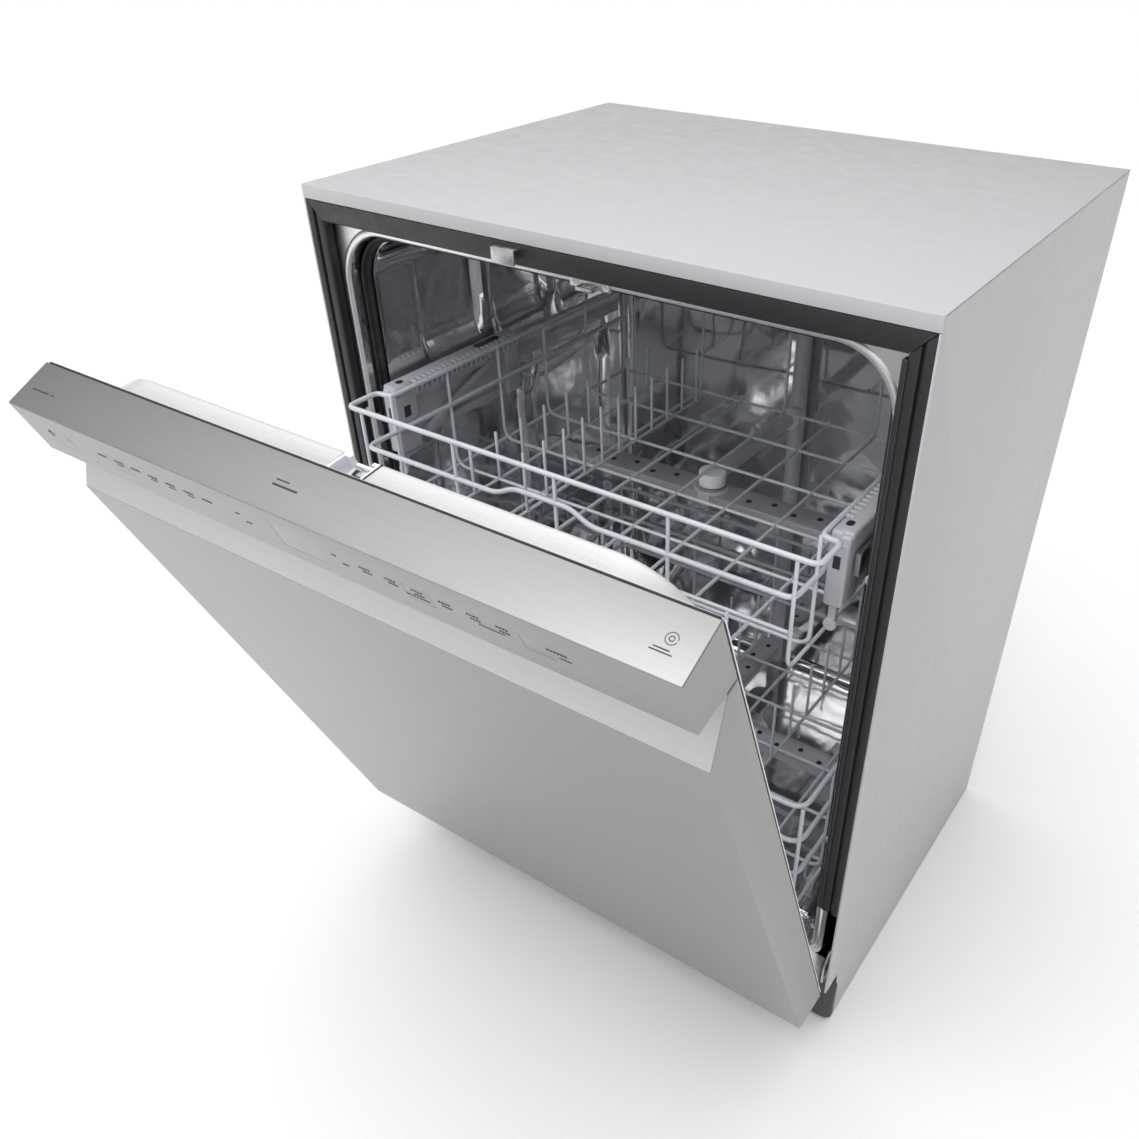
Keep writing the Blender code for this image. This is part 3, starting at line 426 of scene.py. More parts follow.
def rounded(half, low, high, radius, foot=None, steps=14, straight=1):
    """A rounded rectangle as (x, z) points, with straight runs cut into equal parts."""
    foot = foot or radius
    corners = [arc(half - radius, high - radius, radius, 0, 90, steps),
               arc(-half + radius, high - radius, radius, 90, 180, steps),
               arc(-half + foot, low + foot, foot, 180, 270, steps),
               arc(half - foot, low + foot, foot, 270, 360, steps)]
    points = []
    for i, corner in enumerate(corners):
        points += corner
        start, end = corner[-1], corners[(i + 1) % 4][0]
        for k in range(1, straight):
            t = k / straight
            points.append((start[0] + (end[0] - start[0]) * t, start[1] + (end[1] - start[1]) * t))
    return points


def skin(bm, loops, cap_last=False):
    """Faces between matching closed loops of points."""
    rows = [[bm.verts.new(p) for p in loop] for loop in loops]
    for a, b in zip(rows, rows[1:]):
        for i in range(len(a)):
            j = (i + 1) % len(a)
            bm.faces.new((a[i], a[j], b[j], b[i]))
    if cap_last:
        bm.faces.new(rows[-1])
    return rows


def add_block(bm, lo, hi, bevel=0.0, segments=2):
    """A block with rounded edges."""
    size = Vector(hi) - Vector(lo)
    middle = (Vector(hi) + Vector(lo)) / 2
    move = Matrix.Translation(middle) @ Matrix.Diagonal((*size, 1))
    new = bmesh.ops.create_cube(bm, size=1, matrix=move)["verts"]
    if bevel:
        edges = list({e for v in new for e in v.link_edges})
        rounding = bmesh.ops.bevel(bm, geom=edges, offset=bevel, segments=segments, affect="EDGES",
                                   profile=0.5)
        new = rounding["verts"]
    return new


def add_turned(bm, profile, centre, axis=(0, 0, 1), sides=32):
    """Turns (radius, height) points about an axis through centre. Ends are closed on the axis."""
    turn = Vector((0, 0, 1)).rotation_difference(Vector(axis)).to_matrix().to_4x4()
    place = Matrix.Translation(Vector(centre)) @ turn
    rows = []
    for radius, height in profile:
        row = []
        for i in range(sides):
            a = math.tau * i / sides
            reach = max(radius, 1e-5)
            row.append(bm.verts.new(place @ Vector((reach * math.cos(a), reach * math.sin(a), height))))
        rows.append(row)
    for a, b in zip(rows, rows[1:]):
        for i in range(sides):
            j = (i + 1) % sides
            bm.faces.new((a[i], a[j], b[j], b[i]))
    bm.faces.new(rows[0])
    bm.faces.new(rows[-1])


def add_slab(bm, near, far):
    """A solid between two matching outlines of points."""
    rows = [[bm.verts.new(p) for p in outline] for outline in (near, far)]
    bm.faces.new(rows[0])
    bm.faces.new(rows[1])
    for i in range(len(near)):
        j = (i + 1) % len(near)
        bm.faces.new((rows[0][i], rows[0][j], rows[1][j], rows[1][i]))


def spread(start, end, count):
    """Evenly spaced values, both ends included."""
    return [start + (end - start) * i / (count - 1) for i in range(count)]


SHIFT = Matrix.Translation((0, FRONT, 0))            # casing to world
DOOR_SHIFT = DOOR @ SHIFT                            # shut door, casing, to world at rest


# ---- casing -------------------------------------------------------------------------------
def casing():
    """The painted casing, the toe board, the tray, the dark trims and their bracket."""
    soften("top_panel", CASING, 0.0011, 3)
    for name in ("side_panel_left", "side_panel_right", "rear_panel"):
        soften(name, CASING, 0.0005, 2)
    soften("kick_plate", KICK, 0.0012, 3)
    soften("base_tray", TRAY, 0.0010, 2)
    for name in ("trim_top", "trim_left", "trim_right"):
        soften(name, BLACK, 0.0006, 2)
    soften("mount_bracket", ZINC, 0.0004, 2)
    mount_notch_painted_shade()
    trim_lips()
    rear_screws()


def mount_notch_painted_shade():
    """A black block that stands for the notch beside the mounting bracket, dark with shade: painted shade."""
    lo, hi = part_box("mount_bracket")
    bm = bmesh.new()
    add_block(bm, (lo[0] - 0.0045, lo[1] + 0.0030, (lo[2] + hi[2]) / 2 - 0.001),
              (lo[0] - 0.0004, hi[1] - 0.001, hi[2] - 0.0004), 0.0003, 1)
    # the black block in the notch is painted shade
    piece("mount_notch_painted_shade", bm, BLACK, "cabinet")


def trim_lips():
    """A soft lip on the inner edge of each side trim, over the tub's flange."""
    for side, sign in (("left", -1), ("right", 1)):
        lo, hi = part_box("trim_" + side)
        inner = sign * min(abs(lo[0]), abs(hi[0]))
        reach = 0.0034 if sign > 0 else 0.0006
        near, far = sorted((inner - sign * reach, inner + sign * 0.0012))
        y = lo[1] - FRONT
        bm = bmesh.new()
        add_block(bm, (near, y + 0.0005, lo[2] + 0.001), (far, y + 0.0085, ROOF - 0.034), 0.0011, 3)
        piece("trim_lip_" + side, bm, BLACK, "cabinet", place=SHIFT)


def rear_screws():
    """Flat screw heads round the rear panel and along the casing's back edge."""
    bm = bmesh.new()
    low, high = 0.085, ROOF - 0.026
    spots = [(s * (HALF - 0.012), z) for s in (-1, 1) for z in spread(low, high, 5)]
    spots += [(x, high) for x in (-0.15, 0.0, 0.15)]
    for x, z in spots:
        add_turned(bm, [(0.0042, 0.0), (0.0046, 0.0006), (0.0040, 0.0016), (0.0015, 0.0022), (0.0013, 0.0012),
                        (0.0, 0.0012)], (x, BACK, z), (0, 1, 0), 20)
    piece("rear_screws", bm, ZINC, "cabinet", place=SHIFT)


# ---- tub ----------------------------------------------------------------------------------
TUB_HALF, TUB_FLOOR, TUB_TOP, SILL, SUMP_Y = 0.264, 0.118, 0.769, 0.134, 0.235
STEP = 0.0085                                        # the seal channel's depth into the flange
FLANGE_HALF, FLANGE_TOP = 0.2845, 0.7890             # outer edge of the tub's flange


def smoothstep(t):
    """0 to 1, flat at both ends."""
    t = max(0.0, min(1.0, t))
    return t * t * (3 - 2 * t)


def pressing(y, z):
    """How far the side wall is pressed outwards: rounded panels above and below the runners."""
    depth = 0.0
    upper = [(y0, y1, 0.632, 0.742) for y0, y1 in ((0.085, 0.180), (0.196, 0.290), (0.306, 0.405))]
    lower = [(y0, y1, 0.190, 0.565) for y0, y1 in ((0.085, 0.235), (0.255, 0.405))]
    for y0, y1, z0, z1 in upper + lower:
        cy, cz, hy, hz, r = (y0 + y1) / 2, (z0 + z1) / 2, (y1 - y0) / 2, (z1 - z0) / 2, 0.018
        qy, qz = abs(y - cy) - hy + r, abs(z - cz) - hz + r
        away = math.hypot(max(qy, 0), max(qz, 0)) + min(max(qy, qz), 0) - r
        depth = max(depth, smoothstep(-away / 0.0060))
    return depth


def tub_loop(y, half, low, high, radius, low_radius=None, press=False):
    """A rounded section of the tub at depth y, with its side walls pressed outwards or plain."""
    points = []
    for x, z in rounded(half, low, high, radius, low_radius, 12, 34):
        out = 0.0085 * pressing(y, z) if press and abs(abs(x) - half) < 1e-4 else 0.0
        points.append((x + math.copysign(out, x), y, z))
    return points


def tub():
    """The deep-drawn tub: rolled flange, seal channel, pressed walls and a sloped floor."""
    wide, top, sill, foot = TUB_HALF + STEP, TUB_TOP + STEP, SILL - 0.0005, 0.010
    loops = [tub_loop(y, FLANGE_HALF, TUB_FLOOR, FLANGE_TOP, 0.020) for y in (0.0140, 0.0125)]
    for grow, y in ((0.0075, 0.0125), (0.0060, 0.0112), (0.0038, 0.0106), (0.0018, 0.0110), (0.0004, 0.0124),
                    (0.0, 0.0145)):
        loops.append(tub_loop(y, wide + grow, sill - min(grow, 0.002), top + grow, 0.050 + grow, foot))
    bm = bmesh.new()
    skin(bm, loops)
    piece("tub_flange", bm, FLANGE_STEEL, "cabinet", place=SHIFT)
    loops = []
    for y, grow in ((0.0145, 0), (0.0325, 0), (0.0338, -0.0008), (0.0340, -0.0025)):
        loops.append(tub_loop(y, wide + grow, sill, top + grow, 0.050, foot))
    for y, grow in ((0.0340, 0.0020), (0.0344, 0.0006), (0.0360, 0)):
        floor_z = SILL - 0.0006 - grow / 4
        loops.append(tub_loop(y, TUB_HALF + grow, floor_z, TUB_TOP + grow, 0.042 + grow, foot))
    for y in spread(0.040, 0.435, 96):
        t = smoothstep((y - 0.036) / 0.024)
        floor = SILL - 0.0006 + (TUB_FLOOR - SILL + 0.0006) * t
        loops.append(tub_loop(y, TUB_HALF, floor, TUB_TOP, 0.042, foot + (0.042 - foot) * t, True))
    for i in range(1, 7):
        a = math.radians(15 * i)
        r = 0.014
        inset = r * (1 - math.cos(a))
        y = 0.436 + r * math.sin(a)
        loops.append(tub_loop(y, TUB_HALF - inset, TUB_FLOOR + inset, TUB_TOP - inset, 0.042))
    bm = bmesh.new()
    skin(bm, loops, cap_last=True)
    centre = Vector((0, SUMP_Y, TUB_FLOOR))
    cut_tub_floor(bm, centre, 0.090)
    piece("tub_fine", bm, TUB_STEEL, "cabinet", ["tub"], SHIFT)
    bm = bmesh.new()
    for sign in (-1, 1):
        near, far = sorted((sign * 0.232, sign * 0.252))
        add_block(bm, (near, 0.045, TUB_FLOOR - 0.001), (far, 0.440, SILL), 0.003, 3)
    piece("tub_runners", bm, TUB_STEEL, "cabinet", place=SHIFT)


def cut_tub_floor(bm, centre, radius):
    """Opens a round hole in the flat floor: snaps the nearest floor points to the hole's rim."""
    flat = [v for v in bm.verts if abs(v.co.z - centre.z) < 1e-5]
    inside = [v for v in flat if (v.co - centre).length < radius - 0.004]
    rim = [v for v in flat if radius - 0.004 <= (v.co - centre).length < radius + 0.006]
    for v in rim:
        away = (v.co - centre).normalized()
        v.co = centre + away * radius
    bmesh.ops.delete(bm, geom=inside, context="VERTS")


def gasket():
    """Two soft ridges round the mouth, behind the rolled flange."""
    bm = bmesh.new()
    wide, top = TUB_HALF + STEP, TUB_TOP + STEP
    profile = [(0.0250, 0.0014), (0.0235, 0.0030), (0.0238, 0.0048), (0.0255, 0.0056), (0.0270, 0.0048),
               (0.0280, 0.0054), (0.0290, 0.0072), (0.0308, 0.0080), (0.0326, 0.0070), (0.0332, 0.0040),
               (0.0332, 0.0012)]
    steps = 16
    rows = []
    for y, inset in profile:
        half, roof, r = wide - inset, top - inset, 0.050 - inset
        line = [(-half, 0.150)]
        line += [(x, z) for x, z in arc(-half + r, roof - r, r, 180, 90, steps)]
        line += [(x, z) for x, z in arc(half - r, roof - r, r, 90, 0, steps)]
        line += [(half, 0.150)]
        rows.append([bm.verts.new((x, y, z)) for x, z in line])
    rows.append(rows[0])
    for a, b in zip(rows, rows[1:]):
        for i in range(len(a) - 1):
            bm.faces.new((a[i], a[i + 1], b[i + 1], b[i]))
    bm.faces.new([row[0] for row in rows[:-1]])
    bm.faces.new([row[-1] for row in rows[:-1]])
    piece("tub_gasket_fine", bm, SEAL, "cabinet", ["tub_gasket"], SHIFT)


def strike():
    """The latch strike with its two screws, and the plugs on the side flanges."""
    soften("latch_strike", ZINC, 0.0003, 2)
    x = sum(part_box("latch_strike")[i][0] for i in (0, 1)) / 2
    bm = bmesh.new()
    for dx in (-0.0150, 0.0150):
        add_turned(bm, [(0.0032, 0.0), (0.0034, 0.0001), (0.0030, 0.0004), (0.0012, 0.0004), (0.0010, 0.0001),
                        (0.0, 0.0001)], (x + dx, 0.0103, 0.7795), (0, -1, 0), 20)
    piece("strike_screws", bm, PALE, "cabinet", place=SHIFT)
    bm = bmesh.new()
    for sign in (-1, 1):
        for z in (0.598, 0.300):
            add_turned(bm, [(0.0052, 0.0), (0.0054, 0.0005), (0.0046, 0.0014), (0.0024, 0.0019),
                            (0.0, 0.0020)],
                       (sign * 0.2768, 0.0104, z), (0, -1, 0), 24)
    piece("flange_plugs", bm, GREY, "cabinet", place=SHIFT)


# ---- racks --------------------------------------------------------------------------------
def upper_rack():
    """The cup rack in round coated wire."""
    lo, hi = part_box("upper_rack")
    front, back = lo[1] - FRONT + 0.0021, hi[1] - FRONT - 0.0021
    half, side, top, floor = hi[0] - 0.0021, 0.2335, hi[2] - 0.0021, lo[2] + 0.0021
    mid, low, turn, thick, thin = 0.590, 0.554, 0.004, 0.0025, 0.0018
    bm = bmesh.new()

    def wire(points, radius=thin, bend=0.008):
        add_tube(bm, [cab(*p) for p in round_path(points, bend)], radius)

    wire([(-side, back, top), (-side, turn, top), (-half, turn, top), (-half, front, top), (half, front, top),
          (half, turn, top), (side, turn, top), (side, back, top), (-side, back, top)], thick, 0.009)
    wire([(-side, back, mid), (-side, front, mid), (-0.068, front, mid), (-0.048, front, mid + 0.011),
          (0.017, front, mid + 0.011), (0.036, front, mid), (side, front, mid), (side, back, mid)],
         thick, 0.010)
    wire([(-side, front + 0.004, low), (side, front + 0.004, low)], thin)
    columns = spread(-side, side, 9)
    for i, x in enumerate(columns):
        high = top if i % 2 == 0 else low
        far = back if i % 2 else back + 0.0
        lift = top if i % 2 == 0 else floor + 0.004
        wire([(x, front, high), (x, front, floor), (x, far, floor), (x, far, lift)], thin, 0.014)
    for y in spread(turn, back, 6):
        wire([(-side, y, top), (-side, y, floor), (side, y, floor), (side, y, top)], thin, 0.014)
    for y in spread(0.045, 0.365, 9):
        wire([(columns[1], y, floor), (columns[1], y, floor + 0.053)], 0.0018)
    piece("upper_rack_wires", bm, WIRE, "cup_rack", ["upper_rack"], smooth=60)


def tines():
    lo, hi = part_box("tines_upper")
    x = (lo[0] + hi[0]) / 2
    z = lo[2] + 0.0018
    bm = bmesh.new()
    add_tube(bm, [(x, lo[1], z), (x, hi[1], z)], 0.0018)
    for y in spread(0.040, 0.360, 11):
        add_tube(bm, [cab(x, y, z), cab(x, y, hi[2])], 0.0016)
    piece("tines_upper_wires", bm, WIRE, "cup_tines", ["tines_upper"], smooth=60)


def lower_rack():
    """The plate rack in round coated wire, with tine rows and axle legs."""
    lo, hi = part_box("lower_rack")
    front, back = lo[1] - FRONT + 0.0021, hi[1] - FRONT - 0.0021
    top, floor, half = hi[2] - 0.0021, 0.190, 0.2515
    bm = bmesh.new()

    def wire(points, radius=0.0021, bend=0.010):
        add_tube(bm, [cab(*p) for p in round_path(points, bend)], radius)

    for z in (top, top - 0.048, top - 0.096):
        ring = [(0, front, z), (half, front, z), (half, back, z), (-half, back, z), (-half, front, z),
                (0, front, z)]
        wire(ring, 0.0027, 0.016)
    for i, x in enumerate(spread(-half + 0.0001, half - 0.0001, 9)):
        high = top if i % 2 == 0 else floor + 0.03
        wire([(x, front, high), (x, front, floor), (x, back, floor), (x, back, high)], 0.0021, 0.018)
    for y in spread(front, back, 7):
        wire([(-half, y, top), (-half, y, floor), (half, y, floor), (half, y, top)], 0.0021, 0.018)
    for x in (0.0, 0.12575):
        for y in spread(0.045, 0.370, 8):
            wire([(x, y, floor), (x, y, floor + 0.081)], 0.0018)
    for s in (-1, 1):
        for y in (0.075, 0.350):
            z = JOINTS["wheel_front_left_roll"]["pos_m"][2]
            leg = s * 0.2315
            wire([(s * half, y, floor), (leg, y, floor), (leg, y, z), (s * 0.2495, y, z)], 0.0021, 0.004)
    piece("lower_rack_wires", bm, WIRE, "plate_rack", ["lower_rack"], smooth=60)


def adjusters():
    """Height adjusters: a ribbed top bar on two legs with a brace, and an oval grip in the top."""
    for name, sign in (("adjuster_left", -1), ("adjuster_right", 1)):
        lo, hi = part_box(name)
        y0, y1, z0, z1 = lo[1], hi[1], lo[2], hi[2]
        inner, outer = (hi[0], lo[0]) if sign < 0 else (lo[0], hi[0])

        def at(u):
            return inner + (outer - inner) * u

        def block(u0, u1, ya, yb, za, zb, bevel):
            near = sorted((at(u0), at(u1)))
            return add_block(bm, (near[0], ya, za), (near[1], yb, zb), bevel, 3)

        bm = bmesh.new()
        block(0.38, 0.92, y0 + 0.001, y1, z1 - 0.024, z1 - 0.0035, 0.0024)
        block(0.30, 0.98, y0 + 0.003, y1 - 0.002, z1 - 0.008, z1, 0.0030)
        block(0.06, 0.60, y0 + 0.001, y0 + 0.026, z1 - 0.012, z1 - 0.0005, 0.0028)
        for y in spread(y0 + 0.031, y1 - 0.006, 22):
            block(0.0, 0.6, y - 0.0019, y + 0.0019, z1 - 0.0150, z1 - 0.0006, 0.0014)
        block(0.05, 0.90, y0, y0 + 0.030, z0, z1 - 0.010, 0.0026)
        block(0.20, 0.85, y1 - 0.022, y1, z0 + 0.004, z1 - 0.010, 0.0026)
        block(0.45, 0.85, y0 + 0.010, y1 - 0.010, z0 + 0.004, z0 + 0.013, 0.0020)
        block(0.70, 0.80, y0 + 0.020, y1 - 0.012, z0 + 0.008, z1 - 0.012, 0.0004)
        brace = block(0.30, 0.62, -0.058, 0.058, -0.0040, 0.0040, 0.0014)
        middle = Vector((0, (y0 + y1) / 2 + 0.004, (z0 + z1) / 2 - 0.006))
        turn = Matrix.Translation(middle) @ Matrix.Rotation(math.radians(21), 4, "X")
        bmesh.ops.transform(bm, matrix=turn, verts=brace)
        piece(name + "_fine", bm, GREY, "carriage", [name])
        # Black slabs over the oval grip hole and the slots stand for the shade in those openings: painted
        # shade.
        bm = bmesh.new()
        for y, reach, half in ((y1 - 0.045, 0.019, 0.0042), (y0 + 0.017, 0.0045, 0.0032)):
            outline = arc(at(0.5), y + reach - half, half, 0, 180, 10)
            outline += arc(at(0.5), y - reach + half, half, 180, 360, 10)
            add_slab(bm, [(*p, z1 - 0.0003) for p in outline], [(*p, z1 + 0.0002) for p in outline])
        block(0.30, 0.62, y0 - 0.0002, y0 + 0.0006, z1 - 0.034, z1 - 0.022, 0.0002)
        block(0.0402, 0.0600, y0 + 0.010, y0 + 0.019, z1 - 0.034, z1 - 0.022, 0.0002)
        piece(name + "_slots_painted_shade", bm, BLACK, "carriage")
        bm = bmesh.new()
        block(0.25, 0.60, y0 + 0.004, y0 + 0.012, z0 - 0.020, z0 + 0.004, 0.0022)
        add_turned(bm, [(0.0030, 0.0), (0.0056, 0.0008), (0.0062, 0.0022), (0.0056, 0.0036), (0.0, 0.0042)],
                   (at(0.42), y0 + 0.0065, z0 - 0.020), (0, -1, 0), 24)
        piece(name + "_lever", bm, GREY, "carriage")


def basket():
    """The cutlery basket: slotted walls in three wells, a solid rim and a bowed handle."""
    lo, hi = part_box("cutlery_basket")
    x0, x1, y0, y1, z0, rim, t = lo[0], hi[0], lo[1], hi[1], lo[2], hi[2] - 0.030, 0.0022
    bm = bmesh.new()
    for low, high in ((z0, z0 + 0.006), (rim - 0.010, rim), ((z0 + rim) / 2 - 0.003, (z0 + rim) / 2 + 0.003)):
        for a, b in (((x0, y0), (x1, y0 + t)), ((x0, y1 - t), (x1, y1)), ((x0, y0), (x0 + t, y1)),
                     ((x1 - t, y0), (x1, y1)), ((x0, y0 + 0.070), (x1, y0 + 0.070 + t)),
                     ((x0, y1 - 0.070), (x1, y1 - 0.070 + t))):
            add_block(bm, (*a, low), (*b, high), 0.0006, 2)
    for x in spread(x0, x1 - t, 8):
        for y in (y0, y0 + 0.070, y1 - 0.070, y1 - t):
            add_block(bm, (x, y, z0), (x + t, y + t, rim - 0.002), 0.0005, 1)
        add_block(bm, (x, y0, z0), (x + t, y1, z0 + 0.0024), 0.0005, 1)
    for y in spread(y0, y1 - t, 21):
        for x in (x0, x1 - t):
            add_block(bm, (x, y, z0), (x + t, y + t, rim - 0.002), 0.0005, 1)
        add_block(bm, (x0, y, z0), (x1, y + t, z0 + 0.0022), 0.0005, 1)
    middle, a, b, top = (x0 + x1) / 2, y0 + 0.0712, y1 - 0.0688, hi[2] - 0.0032
    handle = [(middle, a, rim - 0.006), (middle, a, top), (middle, b, top), (middle, b, rim - 0.006)]
    add_tube(bm, round_path(handle, 0.016), 0.0032)
    piece("cutlery_basket_fine", bm, GREY, "basket", ["cutlery_basket"])


def wheels():
    """The lower rack's four rollers."""
    for name in ("wheel_front_left", "wheel_front_right", "wheel_rear_left", "wheel_rear_right"):
        wheel(name)


def wheel(name):
    """A spoked roller."""
    lo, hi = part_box(name)
    centre = [(a + b) / 2 for a, b in zip(lo, hi)]
    r, t = (hi[2] - lo[2]) / 2, (hi[0] - lo[0]) / 2
    bm = bmesh.new()
    sides = 40
    profile = [(0.0033, -t), (0.0062, -t), (0.0068, -t + 0.0018), (r - 0.005, -t + 0.0018), (r - 0.0038, -t),
               (r - 0.001, -t * 0.9), (r, -t * 0.6), (r, t * 0.6), (r - 0.001, t * 0.9), (r - 0.0038, t),
               (r - 0.005, t - 0.0018), (0.0068, t - 0.0018), (0.0062, t), (0.0033, t)]
    rows = []
    for radius, height in profile:
        row = []
        for i in range(sides):
            a = math.tau * i / sides
            row.append(bm.verts.new((centre[0] + height, centre[1] + radius * math.cos(a),
                                     centre[2] + radius * math.sin(a))))
        rows.append(row)
    for a, b in zip(rows, rows[1:] + rows[:1]):
        for i in range(sides):
            j = (i + 1) % sides
            bm.faces.new((a[i], a[j], b[j], b[i]))
    for k in range(6):
        a = math.tau * k / 6
        new = add_block(bm, (-t + 0.0006, 0.0065, -0.0010), (t - 0.0006, r - 0.0042, 0.0010), 0.0004, 1)
        turn = Matrix.Translation(centre) @ Matrix.Rotation(a, 4, "X")
        bmesh.ops.transform(bm, matrix=turn, verts=new)
    piece(name + "_fine", bm, GREY, body_of(name), [name])


# ---- wash system --------------------------------------------------------------------------
def spray_arm(node, reach, arms, mat):
    """A blown rotor with a crowned top and nozzles."""
    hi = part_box(node)[1]
    y = JOINTS[{"spray_arm_lower": "lower_arm_spin", "spray_arm_middle": "middle_arm_spin",
                "spray_arm_top": "top_arm_spin"}[node]]["pos_m"][1]
    soften(node, mat, 0.0022, 3)
    bm = bmesh.new()
    top = hi[2] - {"spray_arm_lower": 0.008, "spray_arm_middle": 0.003, "spray_arm_top": 0.003}[node]
    nozzle = [(0.0036, -0.0004), (0.0034, 0.0004), (0.0026, 0.0009), (0.0012, 0.0009), (0.0010, 0.0002),
              (0.0, 0.0002)]
    for k in range(arms):
        a = math.tau * k / arms
        for i, r in enumerate(spread(reach * 0.28, reach * 0.9, 5)):
            off = 0.004 * (1 if i % 2 else -1)
            x, dy = r * math.cos(a) - off * math.sin(a), r * math.sin(a) + off * math.cos(a)
            add_turned(bm, nozzle, (x, y + dy, top), (0, 0, 1), 14)
    piece(node + "_nozzles", bm, BLACK, body_of(node))


def wash_system():
    """Spray arms, sump, filters, pumps and pipes."""
    spray_arm("spray_arm_lower", 0.188, 4, GREY)
    spray_arm("spray_arm_middle", 0.175, 2, GREY)
    spray_arm("spray_arm_top", 0.110, 2, GREY)
    soften("sump", PALE, 0.0008, 2)
    soften("filter_plate", ZINC, 0.0003, 2)
    soften("filter_basket", GREY, 0.0006, 2)
    soften("wash_pump", ZINC, 0.0010, 2)
    soften("drain_pump", GREY, 0.0010, 2)
    for name in ("feed_tube", "rack_feed_tube"):
        soften(name, PALE, 0.0008, 2, 50)


def rails():
    for name in ("rail_outer_left", "rail_outer_right", "rail_slide_left", "rail_slide_right"):
        soften(name, RAIL_STEEL, 0.0003, 2)


# ---- door ---------------------------------------------------------------------------------
def liner():
    """The pressed inner door: rim, raised bead and a deep field, with smooth radii."""
    rings = [(0.0455, 0.3005, -0.0185, 0.6660, 0.004), (0.0467, 0.3005, -0.0185, 0.6660, 0.004),
             (0.0467, 0.2735, 0.0095, 0.6605, 0.058), (0.0470, 0.2722, 0.0105, 0.6595, 0.057),
             (0.0478, 0.2714, 0.0112, 0.6588, 0.0565), (0.0660, 0.2702, 0.0122, 0.6546, 0.0555),
             (0.0676, 0.2697, 0.0126, 0.6541, 0.0552), (0.0687, 0.2688, 0.0133, 0.6533, 0.0546),
             (0.0690, 0.2676, 0.0142, 0.6522, 0.0540), (0.0690, 0.2615, 0.0250, 0.6410, 0.0470),
             (0.0687, 0.2605, 0.0260, 0.6400, 0.0460), (0.0675, 0.2597, 0.0268, 0.6390, 0.0452),
             (0.0440, 0.2585, 0.0285, 0.5980, 0.0420), (0.0220, 0.2577, 0.0298, 0.5700, 0.0402),
             (0.0203, 0.2568, 0.0306, 0.5686, 0.0394), (0.0196, 0.2550, 0.0322, 0.5665, 0.0380)]
    centre, half_cut = latch_x(), 0.0172
    loops = []
    for depth, half, low, high, radius in rings:
        line = rounded(half, low + DOOR_Z, high + DOOR_Z, radius, None, 18, 6)
        line += [(centre + half_cut, high + DOOR_Z), (centre - half_cut, high + DOOR_Z)]
        run = sorted(line[19:24] + line[-2:], key=lambda p: -p[0])
        line = line[:19] + run + line[24:-2]
        loops.append([(x, DOOR_Y + depth, z) for x, z in line])
    bm = bmesh.new()
    rows = skin(bm, loops, cap_last=True)
    gone = []
    for a, b in zip(rows[4:9], rows[5:10]):
        for i in range(18, 27):
            if abs((a[i].co.x + a[i + 1].co.x) / 2 - centre) < half_cut:
                gone += [f for f in a[i].link_faces if a[i + 1] in f.verts and b[i] in f.verts]
    bmesh.ops.delete(bm, geom=gone, context="FACES_ONLY")
    piece("door_liner_fine", bm, LINER_STEEL, "door", ["door_liner"], DOOR_SHIFT)


def latch_x():
    lo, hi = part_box("latch_housing")
    return (lo[0] + hi[0]) / 2


def add_prism(bm, x0, x1, outline):
    """A block along X whose cross-section is given as (depth, height) on the shut door."""
    ends = [[(x, DOOR_Y + d, DOOR_Z + h) for d, h in outline] for x in (x0, x1)]
    add_slab(bm, *ends)


def latch():
    """The latch's pale frame in the liner's top edge, its mouth open to the back, and the hook inside."""
    x, half, near, far, low = latch_x(), 0.0170, 0.0481, 0.0683, 0.6412
    bm = bmesh.new()
    add_prism(bm, x - half, x + half, [(near, low), (far, low), (far, low + 0.0016), (near, low + 0.0016)])
    ramp = [(near, low), (near, 0.6582), (near + 0.0008, 0.6589), (near + 0.0024, 0.6584),
            (near + 0.0030, 0.6574), (near + 0.0072, 0.6450), (near + 0.0072, low)]
    add_prism(bm, x - half, x + half, ramp)
    for sign in (-1, 1):
        a, b = sorted((x + sign * 0.0144, x + sign * half))
        add_prism(bm, a, b, [(near, low), (near, 0.6588), (far, 0.6538), (far, low)])
        a, b = sorted((x + sign * 0.0098, x + sign * half))
        add_prism(bm, a, b, [(far - 0.0028, low), (far - 0.0028, 0.6543), (far, 0.6537), (far, low)])
    back_rail = [(far - 0.0024, low), (far - 0.0024, 0.6468), (far, 0.6466), (far, low)]
    add_prism(bm, x - half, x + half, back_rail)
    piece("latch_frame", bm, FRAME, "door", ["latch_housing"], DOOR_SHIFT)
    # Black plates in the latch's mouth and along the frame's side stand for the shade in those gaps: painted
    # shade.
    bm = bmesh.new()
    add_prism(bm, x - 0.0105, x + 0.0105, [(near + 0.0074, low + 0.0017), (far - 0.0034, low + 0.0017),
                                           (far - 0.0034, low + 0.0021), (near + 0.0074, low + 0.0021)])
    add_prism(bm, x + half - 0.0002, x + half + 0.0008, [(near - 0.0004, 0.6560), (near - 0.0004, 0.6594),
                                                         (far + 0.0003, 0.6546), (far + 0.0003, 0.6500)])
    piece("latch_gap_painted_shade", bm, BLACK, "door", place=DOOR_SHIFT)
    bm = bmesh.new()
    add_block(bm, (-HALF + 0.002, DOOR_Y + 0.0438, DOOR_Z + 0.6615),
              (HALF - 0.002, DOOR_Y + 0.0453, DOOR_Z + 0.6684), 0.0004, 2)
    piece("door_edge_seal", bm, SEAL, "door", place=DOOR_SHIFT)
    soften("latch_hook", ZINC, 0.0003, 2)


